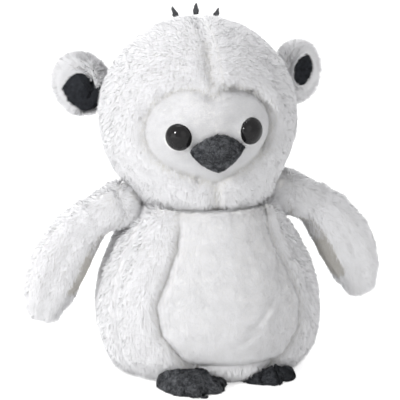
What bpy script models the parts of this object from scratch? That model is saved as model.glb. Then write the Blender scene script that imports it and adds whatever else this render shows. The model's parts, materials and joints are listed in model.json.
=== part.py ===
"""A plush owl that stands on a pellet-weighted base and two lobed feet.

It is sewn from fur-fabric panels over stuffing. A panel's thickness is its backing with its pile, so
the panels' outer faces are the outline of the fur. Metres, +Z up, the face looks along -Y, and "left"
is the owl's own left, at +X. Every form is worked out about the base's middle, and then the whole owl
is moved until it is centred over the origin.
"""

import math

import bmesh
import bpy
import numpy as np

# Fabric and seams
SEAM_GAP = 0.0004
FIT_GAP = 0.0004
STUFFING_GAP = 0.0015
LONG_PILE = 0.0075
SEAM_ROLL_WIDTH = 0.0065
SEAM_ROLL_DEPTH = 0.0035
WELD = 0.000001
SEAM_CROSSING_SHARE = 0.6

# Body
BODY_HALF_WIDTH = 0.078
BODY_HALF_DEPTH = 0.060
BODY_HEIGHT = 0.118
NECK_RADIUS = 0.047
BODY_WIDTH_SHARES = (0.74, 0.86, 0.945, 0.99, 1.0, 0.975, 0.92, 0.825, 0.71)
BODY_DEPTH_SHARES = (0.70, 0.83, 0.93, 0.985, 1.0, 0.99, 0.965, 0.92, 0.86)
BODY_LEVEL_SHARES = (0.006, 0.045, 0.13, 0.26, 0.39, 0.51, 0.62, 0.75, 0.88, 1.0)
BODY_ROWS = 11
BELLY_HALF_WIDTH = 0.0555
BELLY_WIDEST_SHARE = 0.95
BELLY_WIDTH_SHARES = (0.42, 0.54, 0.74, 0.94, 1.0, 0.97, 0.85, 0.72, 0.64, 0.61)
BELLY_AIM = math.radians(3)
BELLY_SET_IN = 0.0035
BELLY_FLAT_SHARE = 0.82
BELLY_EDGE_SHARE = 0.3
BELLY_BULGE = 0.0065
BELLY_BULGE_SHARES = (0.2, 0.6, 1.0, 1.0, 0.95, 0.85, 0.6, 0.35, 0.2, 0.1)
SIDE_SEAM_TURN = math.radians(67)
BASE_THICKNESS = 0.004
BASE_RIM_GAP = 0.0006
BAG_HALF_WIDTH = 0.040
BAG_HALF_DEPTH = 0.028
BAG_HEIGHT = 0.016

# Neck, a ball joint of stuffing between the dished body and the round head
NECK_BALL_RADIUS = 0.0692
NECK_RIM_GAP = 0.0009
NECK_BALL_GAP = 0.0007
NECK_PAD_THICKNESS = 0.005
NECK_PAD_RADIUS = 0.0385
NECK_BALL_TURN = math.radians(38)
NECK_BLEND_TURN = math.radians(58)

# Head
HEAD_HALF_WIDTH = 0.0675
HEAD_HALF_DEPTH = 0.059
HEAD_CROWN_RISE = 0.0665
HEAD_CHIN_DROP = 0.062
CROWN_ROUNDNESS = 2.0
CHIN_ROUNDNESS = 2.25
HEAD_SKIN = 0.008
HEAD_STUFFING_GAP = 0.0023
HOOD_SEAM_TURN = math.radians(100)
FACE_TURNS = (19.5, 25.5, 30.5, 35, 41, 46, 49, 49.5, 47, 43.5, 40.5, 40, 41)
FACE_SET_IN = 0.0055
FACE_BULGE = 0.003
HEAD_LEAN = math.radians(3)
HEAD_SIDE_SHIFT = -0.005
HEAD_TURN = math.radians(-7.5)
HEAD_ONE_SIDED = -0.004

# Eyes and beak
EYE_RADIUS = 0.009
EYE_HEIGHT = 0.0062
EYE_SPREAD = 0.0246
EYE_DROP = 0.0062
EYE_SEAT_DEPTH = 0.0008
STEM_RADIUS = 0.0023
STEM_LENGTH = 0.0105
WASHER_RADIUS = 0.0070
WASHER_THICKNESS = 0.0016
BEAK_HALF_WIDTH = 0.019
BEAK_TOP_RISE = 0.011
BEAK_TIP_DROP = 0.016
BEAK_CENTRE_DROP = 0.0153
BEAK_HEIGHT = 0.013
BEAK_FABRIC = 0.002
BEAK_POINT = 1.3
BEAK_DOME_BEND = 0.6

# Crest of three felts in the crown seam
FELT_SPACING = 0.0135
FELT_WIDTH = 0.0068
FELT_THICKNESS = 0.0014
FELT_HEIGHT = 0.0093
FELT_SEAT_SHARE = 0.75

# Ears
EAR_HALF_LENGTH = 0.0215
EAR_HALF_HEIGHT = 0.0195
EAR_HALF_THICKNESS = 0.009
EAR_LINING = 0.0025
EAR_LINING_GAP = 0.00065
EAR_SEAT_GAP = 0.0006
EAR_SEAT_END_SHARE = 0.7
EAR_SEAT_EDGE_SHARE = 0.8
EAR_SEAT_DEPTH = 0.004
EAR_TURN = math.radians(113)
EAR_ROLL = math.radians(75)
EAR_AIM = math.radians(45)
EAR_RISE_SHARE = 0.12

# Wings
WING_ROOT_RADIUS = 0.016
WING_SEAT_DEPTH = 0.0055
WING_SEAT_DROP = 0.012
WING_SET_BACK = -0.001
WING_REACH = 0.045
LEFT_WING_LIFT = math.radians(2)
LEFT_WING_RAISE = 0.0025
WING_DROP = 0.065
WING_OUT_SHARES = (0.0, 0.34, 0.62, 0.83, 0.95, 1.0)
WING_DOWN_SHARES = (0.0, 0.14, 0.36, 0.63, 0.86, 1.0)
WING_HALF_WIDTH = 0.022
WING_WIDTH_SHARES = (0.69, 0.97, 0.97, 0.84, 0.62)
WING_HALF_THICKNESS = 0.0145
WING_THICKNESS_SHARES = (0.94, 0.95, 0.87, 0.76, 0.62)
WING_TIP_REACH = 0.011
WING_SKIN = 0.005
WING_ROLL_SHARE = 0.5
WING_FRONT_SEAM = math.radians(88)
WING_UNDER_SEAM = math.radians(215)
WING_DISH_GAP = 0.0007

# Feet
FOOT_HALF_WIDTH = 0.0245
FOOT_HALF_LENGTH = 0.0245
FOOT_HEIGHT = 0.0155
FOOT_SPREAD = 0.026
FOOT_REACH = 0.075
FOOT_TOE_OUT = math.radians(6)
FOOT_STAGGER = 0.014
FOOT_FABRIC = 0.003
TOE_SPACING_TURN = math.radians(44)
TOE_NOTCH_TURN = math.radians(8)
TOE_NOTCH_SHARE = 0.14
TOE_DIP_SHARE = 0.16
FOOT_SQUARENESS = 2.4
FOOT_DOME_BEND = 0.62
TOE_DIP_BEND = 0.5
FOOT_FLOOR_RISE = 1.15

# Worked out from the sizes above
NECK_OPENING = NECK_BALL_RADIUS + NECK_RIM_GAP
HEAD_HEIGHT = BODY_HEIGHT + math.sqrt(NECK_OPENING**2 - NECK_RADIUS**2)
HEAD_CENTRE = np.array((HEAD_SIDE_SHIFT, 0.0, HEAD_HEIGHT))

SIDES = (("left", 1), ("right", -1))


def spline(values, where):
    """Reads a smooth curve through evenly spaced values, at places from 0 to 1."""
    values = np.asarray(values, float)
    where = np.asarray(where, float)
    last = len(values) - 1
    at = np.clip(where, 0.0, 1.0) * last
    first = np.minimum(at.astype(int), last - 1)
    part = at - first
    before = values[np.maximum(first - 1, 0)]
    start = values[first]
    end = values[first + 1]
    after = values[np.minimum(first + 2, last)]
    bend = 2 * start - 2 * end + (end - before + after - start) / 2
    slope = (end - before) / 2
    fall = end - start - slope - bend
    return start + part * (slope + part * (fall + part * bend))


def crowded(count):
    """Places from 0 to 1 that crowd towards both ends, where a panel rolls into its seams."""
    return (1 - np.cos(np.linspace(0, math.pi, count))) / 2


def smooth(share):
    share = np.clip(share, 0.0, 1.0)
    return share * share * (3 - 2 * share)


def roll(distance):
    """How far a panel's pile sinks at this distance from its seam."""
    near = 1 - np.clip(distance / SEAM_ROLL_WIDTH, 0.0, 1.0)
    return near * near


def kept_clear(points, centre, radius):
    """Moves points that lie inside a ball out to its surface."""
    away = points - centre
    distance = np.linalg.norm(away, axis=-1, keepdims=True)
    return centre + away * np.maximum(1.0, radius / np.maximum(distance, WELD))


def colour(name, rgb, roughness, metallic=0.0):
    made = bpy.data.materials.get(name)
    if made:
        return made
    made = bpy.data.materials.new(name)
    made.use_nodes = True
    made.diffuse_color = (*rgb, 1.0)
    shader = made.node_tree.nodes["Principled BSDF"]
    shader.inputs["Base Color"].default_value = (*rgb, 1.0)
    shader.inputs["Roughness"].default_value = roughness
    shader.inputs["Metallic"].default_value = metallic
    return made


def long_fur():
    return colour("white_long_fur", (0.86, 0.84, 0.80), 0.9)


def short_fur():
    return colour("white_short_fur", (0.83, 0.79, 0.73), 0.92)


def dark_minky():
    return colour("dark_grey_minky", (0.075, 0.074, 0.078), 0.85)


def dark_felt():
    return colour("dark_grey_felt", (0.06, 0.06, 0.065), 0.95)


def black_plastic():
    return colour("glossy_black_plastic", (0.01, 0.009, 0.01), 0.06)


def clear_nylon():
    return colour("white_nylon", (0.75, 0.75, 0.72), 0.4)


def polyester():
    return colour("polyester_stuffing", (0.9, 0.9, 0.88), 0.95)


def pellet_cloth():
    return colour("pellet_bag_cloth", (0.7, 0.68, 0.62), 0.9)


def empty(name, place, parent=None, lean=0.0, turn=0.0):
    """A named point that pieces hang from, at a place given about the body's axis."""
    made = bpy.data.objects.new(name, None)
    bpy.context.scene.collection.objects.link(made)
    made.empty_display_size = SEAM_ROLL_WIDTH
    made["place"] = [float(value) for value in place]
    origin = np.array(parent["place"]) if parent else np.zeros(3)
    made.location = [float(value) for value in np.array(place) - origin]
    made.rotation_euler = (0.0, lean, turn)
    made.parent = parent
    return made


def mesh_object(name, points, faces, material, parent):
    """An object of these points, given about the body's axis, that hangs from its body's empty."""
    origin = np.array(parent["place"])
    model = bmesh.new()
    corners = [model.verts.new(point) for point in points - origin]
    for face in faces:
        model.faces.new([corners[index] for index in face])
    bmesh.ops.remove_doubles(model, verts=model.verts, dist=WELD)
    bmesh.ops.dissolve_degenerate(model, dist=WELD, edges=model.edges)
    bmesh.ops.recalc_face_normals(model, faces=model.faces)
    mesh = bpy.data.meshes.new(name)
    model.to_mesh(mesh)
    model.free()
    mesh.shade_smooth()
    mesh.set_sharp_from_angle(angle=math.radians(50))
    mesh.materials.append(material)
    made = bpy.data.objects.new(name, mesh)
    bpy.context.scene.collection.objects.link(made)
    made.parent = parent
    return made


def grid_faces(start, rows, columns):
    faces = []
    for row in range(rows - 1):
        for column in range(columns - 1):
            corner = start + row * columns + column
            faces.append((corner, corner + 1, corner + columns + 1, corner + columns))
    return faces


def panel(name, outer, inner, material, parent, ring=False, pole=False):
    """A sheet of fabric between two grids of points. A ring's last column is its first, and a pole's
    first row is one point, so neither has an edge there."""
    rows, columns = outer.shape[:2]
    count = rows * columns
    faces = grid_faces(0, rows, columns)
    faces += [face[::-1] for face in grid_faces(count, rows, columns)]
    edges = [range(count - columns, count)]
    if not pole:
        edges.append(range(columns))
    if not ring:
        edges.append(range(0, count, columns))
        edges.append(range(columns - 1, count, columns))
    for edge in edges:
        for first, second in zip(edge, edge[1:]):
            faces.append((first, second, second + count, first + count))
    points = np.concatenate((outer.reshape(-1, 3), inner.reshape(-1, 3)))
    return mesh_object(name, points, faces, material, parent)


def closed_form(name, grid, material, parent):
    """A solid whose grid closes round its columns and ends in a point at its first and last rows."""
    rows, columns = grid.shape[:2]
    return mesh_object(name, grid.reshape(-1, 3), grid_faces(0, rows, columns), material, parent)


def cutter(made):
    made.hide_render = True
    made.display_type = "WIRE"
    return made


def cut(piece, tool):
    modifier = piece.modifiers.new(f"cut_by_{tool.name}", "BOOLEAN")
    modifier.operation = "DIFFERENCE"
    modifier.solver = "EXACT"
    modifier.object = tool


def body_point(turn, level, inset=0.0):
    """A point of the body at a turn from the front and a level from 0 at the base to 1 at the neck,
    inset along the outline's normal. The body leans over towards the side its head sits at."""
    turn, level, inset = np.broadcast_arrays(turn, level, inset)
    widths = [share * BODY_HALF_WIDTH for share in BODY_WIDTH_SHARES] + [NECK_RADIUS]
    depths = [share * BODY_HALF_DEPTH for share in BODY_DEPTH_SHARES] + [NECK_RADIUS]
    heights = [share * BODY_HEIGHT for share in BODY_LEVEL_SHARES]
    step_share = 0.01
    wide, deep, high = (spline(values, level) for values in (widths, depths, heights))
    ahead = np.clip(level + step_share, 0.0, 1.0)
    behind = np.clip(level - step_share, 0.0, 1.0)
    out = spline(widths, ahead) - spline(widths, behind)
    up = spline(heights, ahead) - spline(heights, behind)
    length = np.hypot(out, up)
    sideways = inset * up / length
    downwards = inset * out / length
    return np.stack(
        (
            (wide - sideways) * np.sin(turn) + HEAD_SIDE_SHIFT * high / BODY_HEIGHT,
            -(deep - sideways) * np.cos(turn),
            high + downwards,
        ),
        axis=-1,
    )


def body_radius(turn, level):
    point = body_point(turn, level)
    shift = HEAD_SIDE_SHIFT * point[..., 2] / BODY_HEIGHT
    return np.hypot(point[..., 0] - shift, point[..., 1])


def belly_edge(side, level):
    """The turn of the belly panel's seam on one side."""
    half_width = BELLY_HALF_WIDTH * spline(BELLY_WIDTH_SHARES, level)
    widths = [share * BODY_HALF_WIDTH for share in BODY_WIDTH_SHARES] + [NECK_RADIUS]
    turn = np.arcsin(np.minimum(half_width / spline(widths, level), BELLY_WIDEST_SHARE))
    return side * turn + BELLY_AIM


def body_panel(name, first, last, set_in, bulge, columns, material, parent):
    """A panel of the body between two seams, each a column of turns up the body."""
    level = crowded(BODY_ROWS)[:, None]
    across = crowded(columns)[None, :]
    radius = body_radius((first + last) / 2, level)
    half_gap = SEAM_GAP / 2 / radius
    turn = first + half_gap + (last - first - 2 * half_gap) * across
    width = (last - first) * radius
    side_roll = roll(np.minimum(across, 1 - across) * width)
    end_roll = roll(np.minimum(level, 1 - level) * BODY_HEIGHT)
    sunk = SEAM_ROLL_DEPTH * np.clip(side_roll + end_roll, 0.0, 1.0)
    raised = bulge * np.sin(math.pi * across) * spline(BELLY_BULGE_SHARES, level)
    outer = body_point(turn, level, set_in + sunk - raised)
    inner = body_point(turn, level, LONG_PILE + set_in)
    opening = NECK_BALL_RADIUS + NECK_BALL_GAP
    outer, inner = (kept_clear(grid, HEAD_CENTRE, opening) for grid in (outer, inner))
    return panel(name, outer, inner, material, parent)


def base_grid(inset, height):
    """Rings of the body's flat underside, whose rim keeps its gap to the side panels' sloped edges."""
    turn = np.linspace(0, 2 * math.pi, 29)[None, :]
    rim = body_point(turn, 0.0, inset) * (1 - BASE_RIM_GAP / NECK_RADIUS)
    grid = np.concatenate((rim * 0, rim / 2, rim))
    grid[..., 2] = height
    return grid


def base_panel(parent):
    outer = base_grid(0.0, 0.0)
    inner = base_grid(BASE_THICKNESS, BASE_THICKNESS)
    return panel("base_panel", outer, inner, short_fur(), parent, ring=True, pole=True)


def pellet_bag(parent):
    """A flat-bottomed bag of pellets that lies on the base and weights it."""
    turn = np.linspace(0, 2 * math.pi, 21)[None, :]
    rise_shares = np.array((0.0, 0.0, 0.12, 0.45, 0.8, 0.97, 1.0))[:, None]
    out_shares = np.array((0.0, 0.88, 0.97, 1.0, 0.85, 0.5, 0.0))[:, None]
    grid = np.stack(
        (
            BAG_HALF_WIDTH * out_shares * np.sin(turn),
            -BAG_HALF_DEPTH * out_shares * np.cos(turn),
            BASE_THICKNESS + FIT_GAP + BAG_HEIGHT * rise_shares + 0 * turn,
        ),
        axis=-1,
    )
    return closed_form("pellet_bag", grid, pellet_cloth(), parent)


def body_stuffing(parent):
    turn = np.linspace(0, 2 * math.pi, 25)[None, :]
    rise_shares = np.array((1.0, 0.97, 0.8, 0.45, 0.0))[:, None]
    out_shares = np.array((0.0, 0.5, 0.85, 1.0, 1.0))[:, None]
    over_bag = np.stack(
        (
            (BAG_HALF_WIDTH + FIT_GAP * 2) * out_shares * np.sin(turn),
            -(BAG_HALF_DEPTH + FIT_GAP * 2) * out_shares * np.cos(turn),
            BASE_THICKNESS + FIT_GAP + (BAG_HEIGHT + FIT_GAP) * rise_shares + 0 * turn,
        ),
        axis=-1,
    )
    level = np.linspace(0, 1, 11)[:, None]
    sides = body_point(turn, level, LONG_PILE + STUFFING_GAP + BELLY_SET_IN * front_share(turn))
    sides[..., 2] = np.maximum(sides[..., 2], BASE_THICKNESS + FIT_GAP)
    top_shares = np.array((0.6, 0.3, 0.0))[:, None, None]
    top = HEAD_CENTRE + (sides[-1:] - HEAD_CENTRE) * top_shares
    top[..., 2] = sides[-1, :, 2]
    grid = np.concatenate((over_bag, sides, top))
    hollow = NECK_BALL_RADIUS + NECK_BALL_GAP * 2 + NECK_PAD_THICKNESS
    grid[-7:] = kept_dished(grid[-7:], hollow)
    return closed_form("body_stuffing", grid, polyester(), parent)


def front_share(turn):
    """One over the belly panel, none round the sides and back."""
    return smooth((np.cos(turn - BELLY_AIM) - BELLY_EDGE_SHARE) / BELLY_EDGE_SHARE)


def kept_dished(grid, radius):
    """Lowers points to the dish in the body's top, a ball of this radius about the head's centre."""
    out = np.hypot(grid[..., 0] - HEAD_SIDE_SHIFT, grid[..., 1])
    dish = HEAD_HEIGHT - np.sqrt(np.maximum(radius**2 - out**2, 0.0))
    lowered = grid.copy()
    lowered[..., 2] = np.minimum(grid[..., 2], dish)
    return lowered


def neck_stuffing(parent):
    """A pad of stuffing, dished above and round below, that the head nods on."""
    around = np.linspace(0, 2 * math.pi, 25)[None, :]
    out_shares = np.array((0.0, 0.25, 0.5, 0.75, 0.93, 1.0))[:, None]
    away = math.asin(NECK_PAD_RADIUS / (NECK_BALL_RADIUS + NECK_PAD_THICKNESS)) * out_shares
    down = np.stack(
        (np.sin(away) * np.sin(around), -np.sin(away) * np.cos(around), -np.cos(away) + 0 * around),
        axis=-1,
    )
    top = NECK_BALL_RADIUS + NECK_BALL_GAP
    thickness_shares = np.array((1.0, 1.0, 1.0, 1.0, 0.8, 0.5))[:, None, None]
    bottom = top + NECK_PAD_THICKNESS * thickness_shares
    upper = HEAD_CENTRE + down * top
    lower = HEAD_CENTRE + down * bottom
    return panel("neck_stuffing", lower, upper, polyester(), parent, ring=True, pole=True)


def head_direction(away, around):
    """A direction from the head's centre: its angle from straight ahead, and its turn from the crown."""
    away, around = np.broadcast_arrays(away, around)
    return np.stack(
        (np.sin(away) * np.sin(around), -np.cos(away), np.sin(away) * np.cos(around)),
        axis=-1,
    )


def head_radius(direction, inset=0.0):
    """The head's radius along a direction. It is round about its centre where it sits on the neck."""
    inset = np.asarray(inset)
    up = direction[..., 2]
    rise = np.where(up > 0, HEAD_CROWN_RISE, HEAD_CHIN_DROP) - inset
    roundness = np.where(up > 0, CROWN_ROUNDNESS, CHIN_ROUNDNESS)
    level = np.hypot(
        direction[..., 0] / (HEAD_HALF_WIDTH - inset),
        direction[..., 1] / (HEAD_HALF_DEPTH - inset),
    )
    radius = (level**roundness + (np.abs(up) / rise) ** roundness) ** (-1 / roundness)
    from_down = np.arccos(np.clip(-up, -1.0, 1.0))
    blend = smooth((NECK_BLEND_TURN - from_down) / (NECK_BLEND_TURN - NECK_BALL_TURN))
    radius = radius + HEAD_ONE_SIDED * direction[..., 0]
    return radius + (NECK_BALL_RADIUS - inset - radius) * blend


def head_point(direction, inset=0.0):
    return HEAD_CENTRE + direction * head_radius(direction, inset)[..., None]


def face_turn(around):
    """The heart-shaped edge of the face: its angle from straight ahead, by the turn from the crown."""
    turned = np.abs((around + math.pi) % (2 * math.pi) - math.pi)
    return np.radians(spline(FACE_TURNS, turned / math.pi))


def face_inset(away, around):
    """How far the short pile of the face lies below the hood's."""
    across = away / face_turn(around)
    edge = roll((1 - across) * face_turn(around) * HEAD_HALF_DEPTH) * SEAM_ROLL_DEPTH / 2
    return FACE_SET_IN - FACE_BULGE * (1 - across**2) + edge


def half_round():
    """Turns from the crown to the chin down one side, closer beside the seams on the middle line."""
    return np.radians((0, 4, *range(12, 180, 12), 176, 180))


def full_round():
    """The same turns round the whole head, so that panels meet corner to corner."""
    side = half_round()
    return np.concatenate((side, 2 * math.pi - side[-2::-1]))[None, :]


def face_panel(parent):
    around = full_round()
    share = np.array((0.0, 0.3, 0.58, 0.8, 0.93, 1.0))[:, None]
    edge = face_turn(around) - SEAM_GAP / 2 / HEAD_HALF_DEPTH
    away = share * edge
    direction = head_direction(away, around)
    outer = head_point(direction, face_inset(away, around))
    inner = head_point(direction, HEAD_SKIN)
    return panel("face_panel", outer, inner, short_fur(), parent, ring=True, pole=True)


def hood_panel(name, side, parent):
    """The long-pile hood on one side, from the face's edge to the seam over the crown."""
    half_gap = SEAM_GAP / 2 / HEAD_HALF_DEPTH
    around = np.clip(half_round(), 2 * half_gap, math.pi - 2 * half_gap)[None, :]
    share = crowded(8)[:, None]
    near = face_turn(around) + half_gap
    far = HOOD_SEAM_TURN - half_gap
    away = near + (far - near) * share
    direction = head_direction(away, side * around)
    length = (far - near) * HEAD_HALF_WIDTH
    end_roll = roll(np.minimum(share, 1 - share) * length)
    side_distance = np.minimum(around, math.pi - around) * HEAD_HALF_WIDTH * np.sin(away)
    sunk = SEAM_ROLL_DEPTH * np.clip(end_roll + roll(side_distance) * SEAM_CROSSING_SHARE, 0.0, 1.0)
    outer = head_point(direction, sunk)
    inner = head_point(direction, HEAD_SKIN)
    return panel(name, outer, inner, long_fur(), parent)


def head_back_panel(parent):
    around = full_round()
    share = np.array((1.0, 0.66, 0.38, 0.17, 0.06, 0.0))[:, None]
    near = HOOD_SEAM_TURN + SEAM_GAP / 2 / HEAD_HALF_DEPTH
    away = near + (math.pi - near) * share
    direction = head_direction(away, around)
    sunk = SEAM_ROLL_DEPTH * roll(share * (math.pi - near) * HEAD_HALF_WIDTH)
    outer = head_point(direction, sunk)
    inner = head_point(direction, HEAD_SKIN)
    return panel("head_back_panel", outer, inner, long_fur(), parent, ring=True, pole=True)


def head_stuffing(parent):
    around = np.linspace(0, 2 * math.pi, 25)[None, :]
    away = np.linspace(0, math.pi, 13)[:, None]
    grid = head_point(head_direction(away, around), HEAD_SKIN + HEAD_STUFFING_GAP)
    return closed_form("head_stuffing", grid, polyester(), parent)


def on_face(x, z, lift):
    """A point over the face, this far out from its pile, at a place across and up from its middle."""
    rise = np.where(z > 0, HEAD_CROWN_RISE, HEAD_CHIN_DROP)
    roundness = np.where(z > 0, CROWN_ROUNDNESS, CHIN_ROUNDNESS)
    level = (1 - (np.abs(z) / rise) ** roundness) ** (1 / roundness)
    forward = HEAD_HALF_DEPTH * np.sqrt(level**2 - (x / HEAD_HALF_WIDTH) ** 2)
    direction = np.stack(np.broadcast_arrays(x, -forward, z), axis=-1)
    direction /= np.linalg.norm(direction, axis=-1, keepdims=True)
    away = np.arccos(-direction[..., 1])
    around = np.arctan2(direction[..., 0], direction[..., 2])
    radius = head_radius(direction, face_inset(away, around)) + lift
    return HEAD_CENTRE + direction * radius[..., None]


def eye_axis(side):
    """An eye's seat on the face, and the outward direction of its stem."""
    x = np.array(side * EYE_SPREAD)
    z = np.array(-EYE_DROP)
    step = EYE_RADIUS / 4
    seat = on_face(x, z, 0.0)
    sideways = on_face(x + step, z, 0.0) - on_face(x - step, z, 0.0)
    upwards = on_face(x, z + step, 0.0) - on_face(x, z - step, 0.0)
    out = np.cross(sideways, upwards)
    return seat, out / np.linalg.norm(out)


def turned_solid(name, profile, seat, out, material, parent, sides=16, closed=True):
    """A solid turned about an axis, from (radius, distance along the axis) points. A closed profile
    starts and ends on the axis, and an open one goes round a ring."""
    across = np.cross(out, (0.0, 0.0, 1.0))
    across /= np.linalg.norm(across)
    upwards = np.cross(across, out)
    if not closed:
        profile = (*profile, profile[0])
    radius = np.array([point[0] for point in profile])[:, None, None]
    along = np.array([point[1] for point in profile])[:, None, None]
    turn = np.linspace(0, 2 * math.pi, sides + 1)[None, :, None]
    grid = seat + radius * (across * np.cos(turn) + upwards * np.sin(turn)) + along * out
    return closed_form(name, grid, material, parent)


def eye(name, side, parent):
    """A domed safety eye with its stem."""
    seat, out = eye_axis(side)
    base = -EYE_SEAT_DEPTH + FIT_GAP
    bow = np.radians((0, 20, 40, 60, 78, 90))
    dome = [(EYE_RADIUS * math.sin(turn), base + EYE_HEIGHT * math.cos(turn)) for turn in bow]
    rim = [(EYE_RADIUS - FIT_GAP, base - FIT_GAP / 2), (STEM_RADIUS, base - FIT_GAP / 2)]
    stem = [(STEM_RADIUS, base - STEM_LENGTH), (0.0, base - STEM_LENGTH)]
    return turned_solid(name, dome + rim + stem, seat, out, black_plastic(), parent)


def washer_depth(seat):
    """How far behind the face's pile an eye's washer starts, clear of the fabric's curve."""
    direction = (seat - HEAD_CENTRE) / np.linalg.norm(seat - HEAD_CENTRE)
    away = np.arccos(-direction[1])
    around = np.arctan2(direction[0], direction[2])
    fabric = HEAD_SKIN - face_inset(away, around)
    return float(fabric + WASHER_RADIUS**2 / (2 * HEAD_HALF_DEPTH) + FIT_GAP)


def eye_washer(name, side, parent):
    """The washer that grips an eye's stem behind the face."""
    seat, out = eye_axis(side)
    front = -washer_depth(seat)
    back = front - WASHER_THICKNESS
    bore = STEM_RADIUS + FIT_GAP
    ring = ((bore, back), (WASHER_RADIUS, back), (WASHER_RADIUS, front), (bore, front))
    return turned_solid(name, ring, seat, out, clear_nylon(), parent, closed=False)


def eye_cutter(name, side, parent):
    """The seat, stem hole and washer pocket of an eye."""
    seat, out = eye_axis(side)
    outside = EYE_HEIGHT * 2
    hole = STEM_RADIUS + FIT_GAP
    pocket = WASHER_RADIUS + FIT_GAP
    front = -washer_depth(seat) + FIT_GAP
    end = -STEM_LENGTH - EYE_SEAT_DEPTH - FIT_GAP
    recess = EYE_RADIUS + FIT_GAP
    profile = (
        (0.0, outside),
        (recess, outside),
        (recess, -EYE_SEAT_DEPTH - FIT_GAP / 2),
        (hole, -EYE_SEAT_DEPTH - FIT_GAP / 2),
        (hole, front),
        (pocket, front),
        (pocket, end),
        (0.0, end),
    )
    return cutter(turned_solid(name, profile, seat, out, clear_nylon(), parent))


def beak_reach(turn, shrink):
    """The beak's diamond outline, drawn in by a size: its distance from the beak's middle."""
    across = np.abs(np.cos(turn)) / (BEAK_HALF_WIDTH - shrink)
    rise = np.where(np.sin(turn) > 0, BEAK_TOP_RISE, BEAK_TIP_DROP) - shrink
    along = np.abs(np.sin(turn)) / rise
    return (across**BEAK_POINT + along**BEAK_POINT) ** (-1 / BEAK_POINT)


def beak_surface(share, turn, shrink, lift):
    """The beak's domed front over its outline, with its fabric drawn in and lowered."""
    reach = share * beak_reach(turn, shrink)
    x = reach * np.cos(turn)
    z = reach * np.sin(turn) - BEAK_CENTRE_DROP
    dome = (BEAK_HEIGHT - shrink) * (1 - share**2) ** BEAK_DOME_BEND
    return on_face(x, z, FIT_GAP + lift + dome)


def beak_half(name, start, parent):
    share = np.array((0.0, 0.45, 0.75, 0.92, 1.0))[:, None]
    lean = SEAM_GAP / BEAK_HALF_WIDTH
    turn = np.linspace(start + lean, start + math.pi - lean, 13)[None, :]
    shift = SEAM_GAP / 2 * (1 if start == 0 else -1)
    outer = beak_surface(share, turn, 0.0, 0.0)
    inner = beak_surface(share, turn, BEAK_FABRIC, 0.0)
    outer[..., 2] += shift
    inner[..., 2] += shift
    return panel(name, outer, inner, dark_minky(), parent, pole=True)


def beak_stuffing(parent):
    share = np.array((0.0, 0.45, 0.75, 0.92, 1.0))[:, None]
    turn = np.linspace(0, 2 * math.pi, 25)[None, :]
    shrink = BEAK_FABRIC + FIT_GAP
    front = beak_surface(share, turn, shrink, 0.0)
    back_shares = np.array((0.5, 0.0))[:, None]
    reach = beak_reach(turn, shrink) * back_shares
    back = on_face(reach * np.cos(turn), reach * np.sin(turn) - BEAK_CENTRE_DROP, FIT_GAP)
    return closed_form("beak_stuffing", np.concatenate((front, back)), polyester(), parent)


def crest_felt(name, place, parent):
    """A small pointed felt that stands in the seam over the crown."""
    around = place * FELT_SPACING / HEAD_CROWN_RISE
    direction = head_direction(HOOD_SEAM_TURN, around)
    foot = head_point(direction, SEAM_ROLL_DEPTH * FELT_SEAT_SHARE)
    sideways = np.cross(direction, (0.0, 1.0, 0.0))
    sideways /= np.linalg.norm(sideways)
    forward = np.cross(sideways, direction)
    rise_shares = np.array((0.0, 0.0, 0.35, 0.7, 0.93, 1.0))[:, None, None]
    width_shares = np.array((0.0, 0.8, 1.0, 0.72, 0.28, 0.0))[:, None, None]
    turn = np.linspace(0, 2 * math.pi, 13)[None, :, None]
    half_width = FELT_WIDTH / 2 * width_shares
    half_thickness = FELT_THICKNESS / 2 * np.minimum(1.0, width_shares * 2)
    grid = (
        foot
        + direction * FELT_HEIGHT * rise_shares
        + sideways * half_width * np.cos(turn)
        + forward * half_thickness * np.sin(turn)
    )
    return closed_form(name, grid, dark_felt(), parent)


def ear_frame(side):
    """An ear's hinge, and its directions outward, up its height and out of its lining."""
    direction = head_direction(EAR_TURN, side * EAR_ROLL)
    lift = EAR_HALF_THICKNESS - EAR_SEAT_DEPTH
    hinge = HEAD_CENTRE + direction * (head_radius(direction) + lift)
    facing = np.array((side * math.sin(EAR_AIM), -math.cos(EAR_AIM), 0.0))
    outward = np.array((side * math.cos(EAR_AIM), math.sin(EAR_AIM), EAR_RISE_SHARE))
    outward /= np.linalg.norm(outward)
    upward = np.cross(facing, outward) * side
    return hinge, outward, upward, facing


def ear_grid(side, out_shares, facing_shares, shrink=0.0):
    """Rings about an ear's middle, at shares of its size across and of its thickness. The root stays
    within a round of the hinge, so the ear can turn in its seat."""
    hinge, outward, upward, facing = ear_frame(side)
    turn = np.linspace(0, 2 * math.pi, 25)[None, :]
    share = np.array(out_shares)[:, None]
    middle = EAR_HALF_LENGTH - EAR_HALF_THICKNESS
    out = middle + (EAR_HALF_LENGTH - shrink) * share * np.cos(turn)
    up = (EAR_HALF_HEIGHT - shrink) * share * np.sin(turn)
    thick = EAR_HALF_THICKNESS * np.array(facing_shares)[:, None] + 0 * turn
    distance = np.hypot(out, thick)
    pull = np.where(out < 0, np.minimum(1.0, (EAR_HALF_THICKNESS - shrink) / distance), 1.0)
    steps = (out * pull, up, thick * pull)
    return hinge + sum(step[..., None] * way for step, way in zip(steps, (outward, upward, facing)))


def ear_outer(name, side, parent):
    """The plump fur outside of an ear, hollowed for its lining."""
    out_shares = (0.0, 0.5, 0.85, 0.98, 1.0, 0.95, 0.84, 0.72, 0.4, 0.0)
    facing_shares = (-1.0, -0.93, -0.65, -0.25, 0.1, 0.5, 0.62, 0.35, -0.15, -0.3)
    return closed_form(name, ear_grid(side, out_shares, facing_shares), long_fur(), parent)


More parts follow.
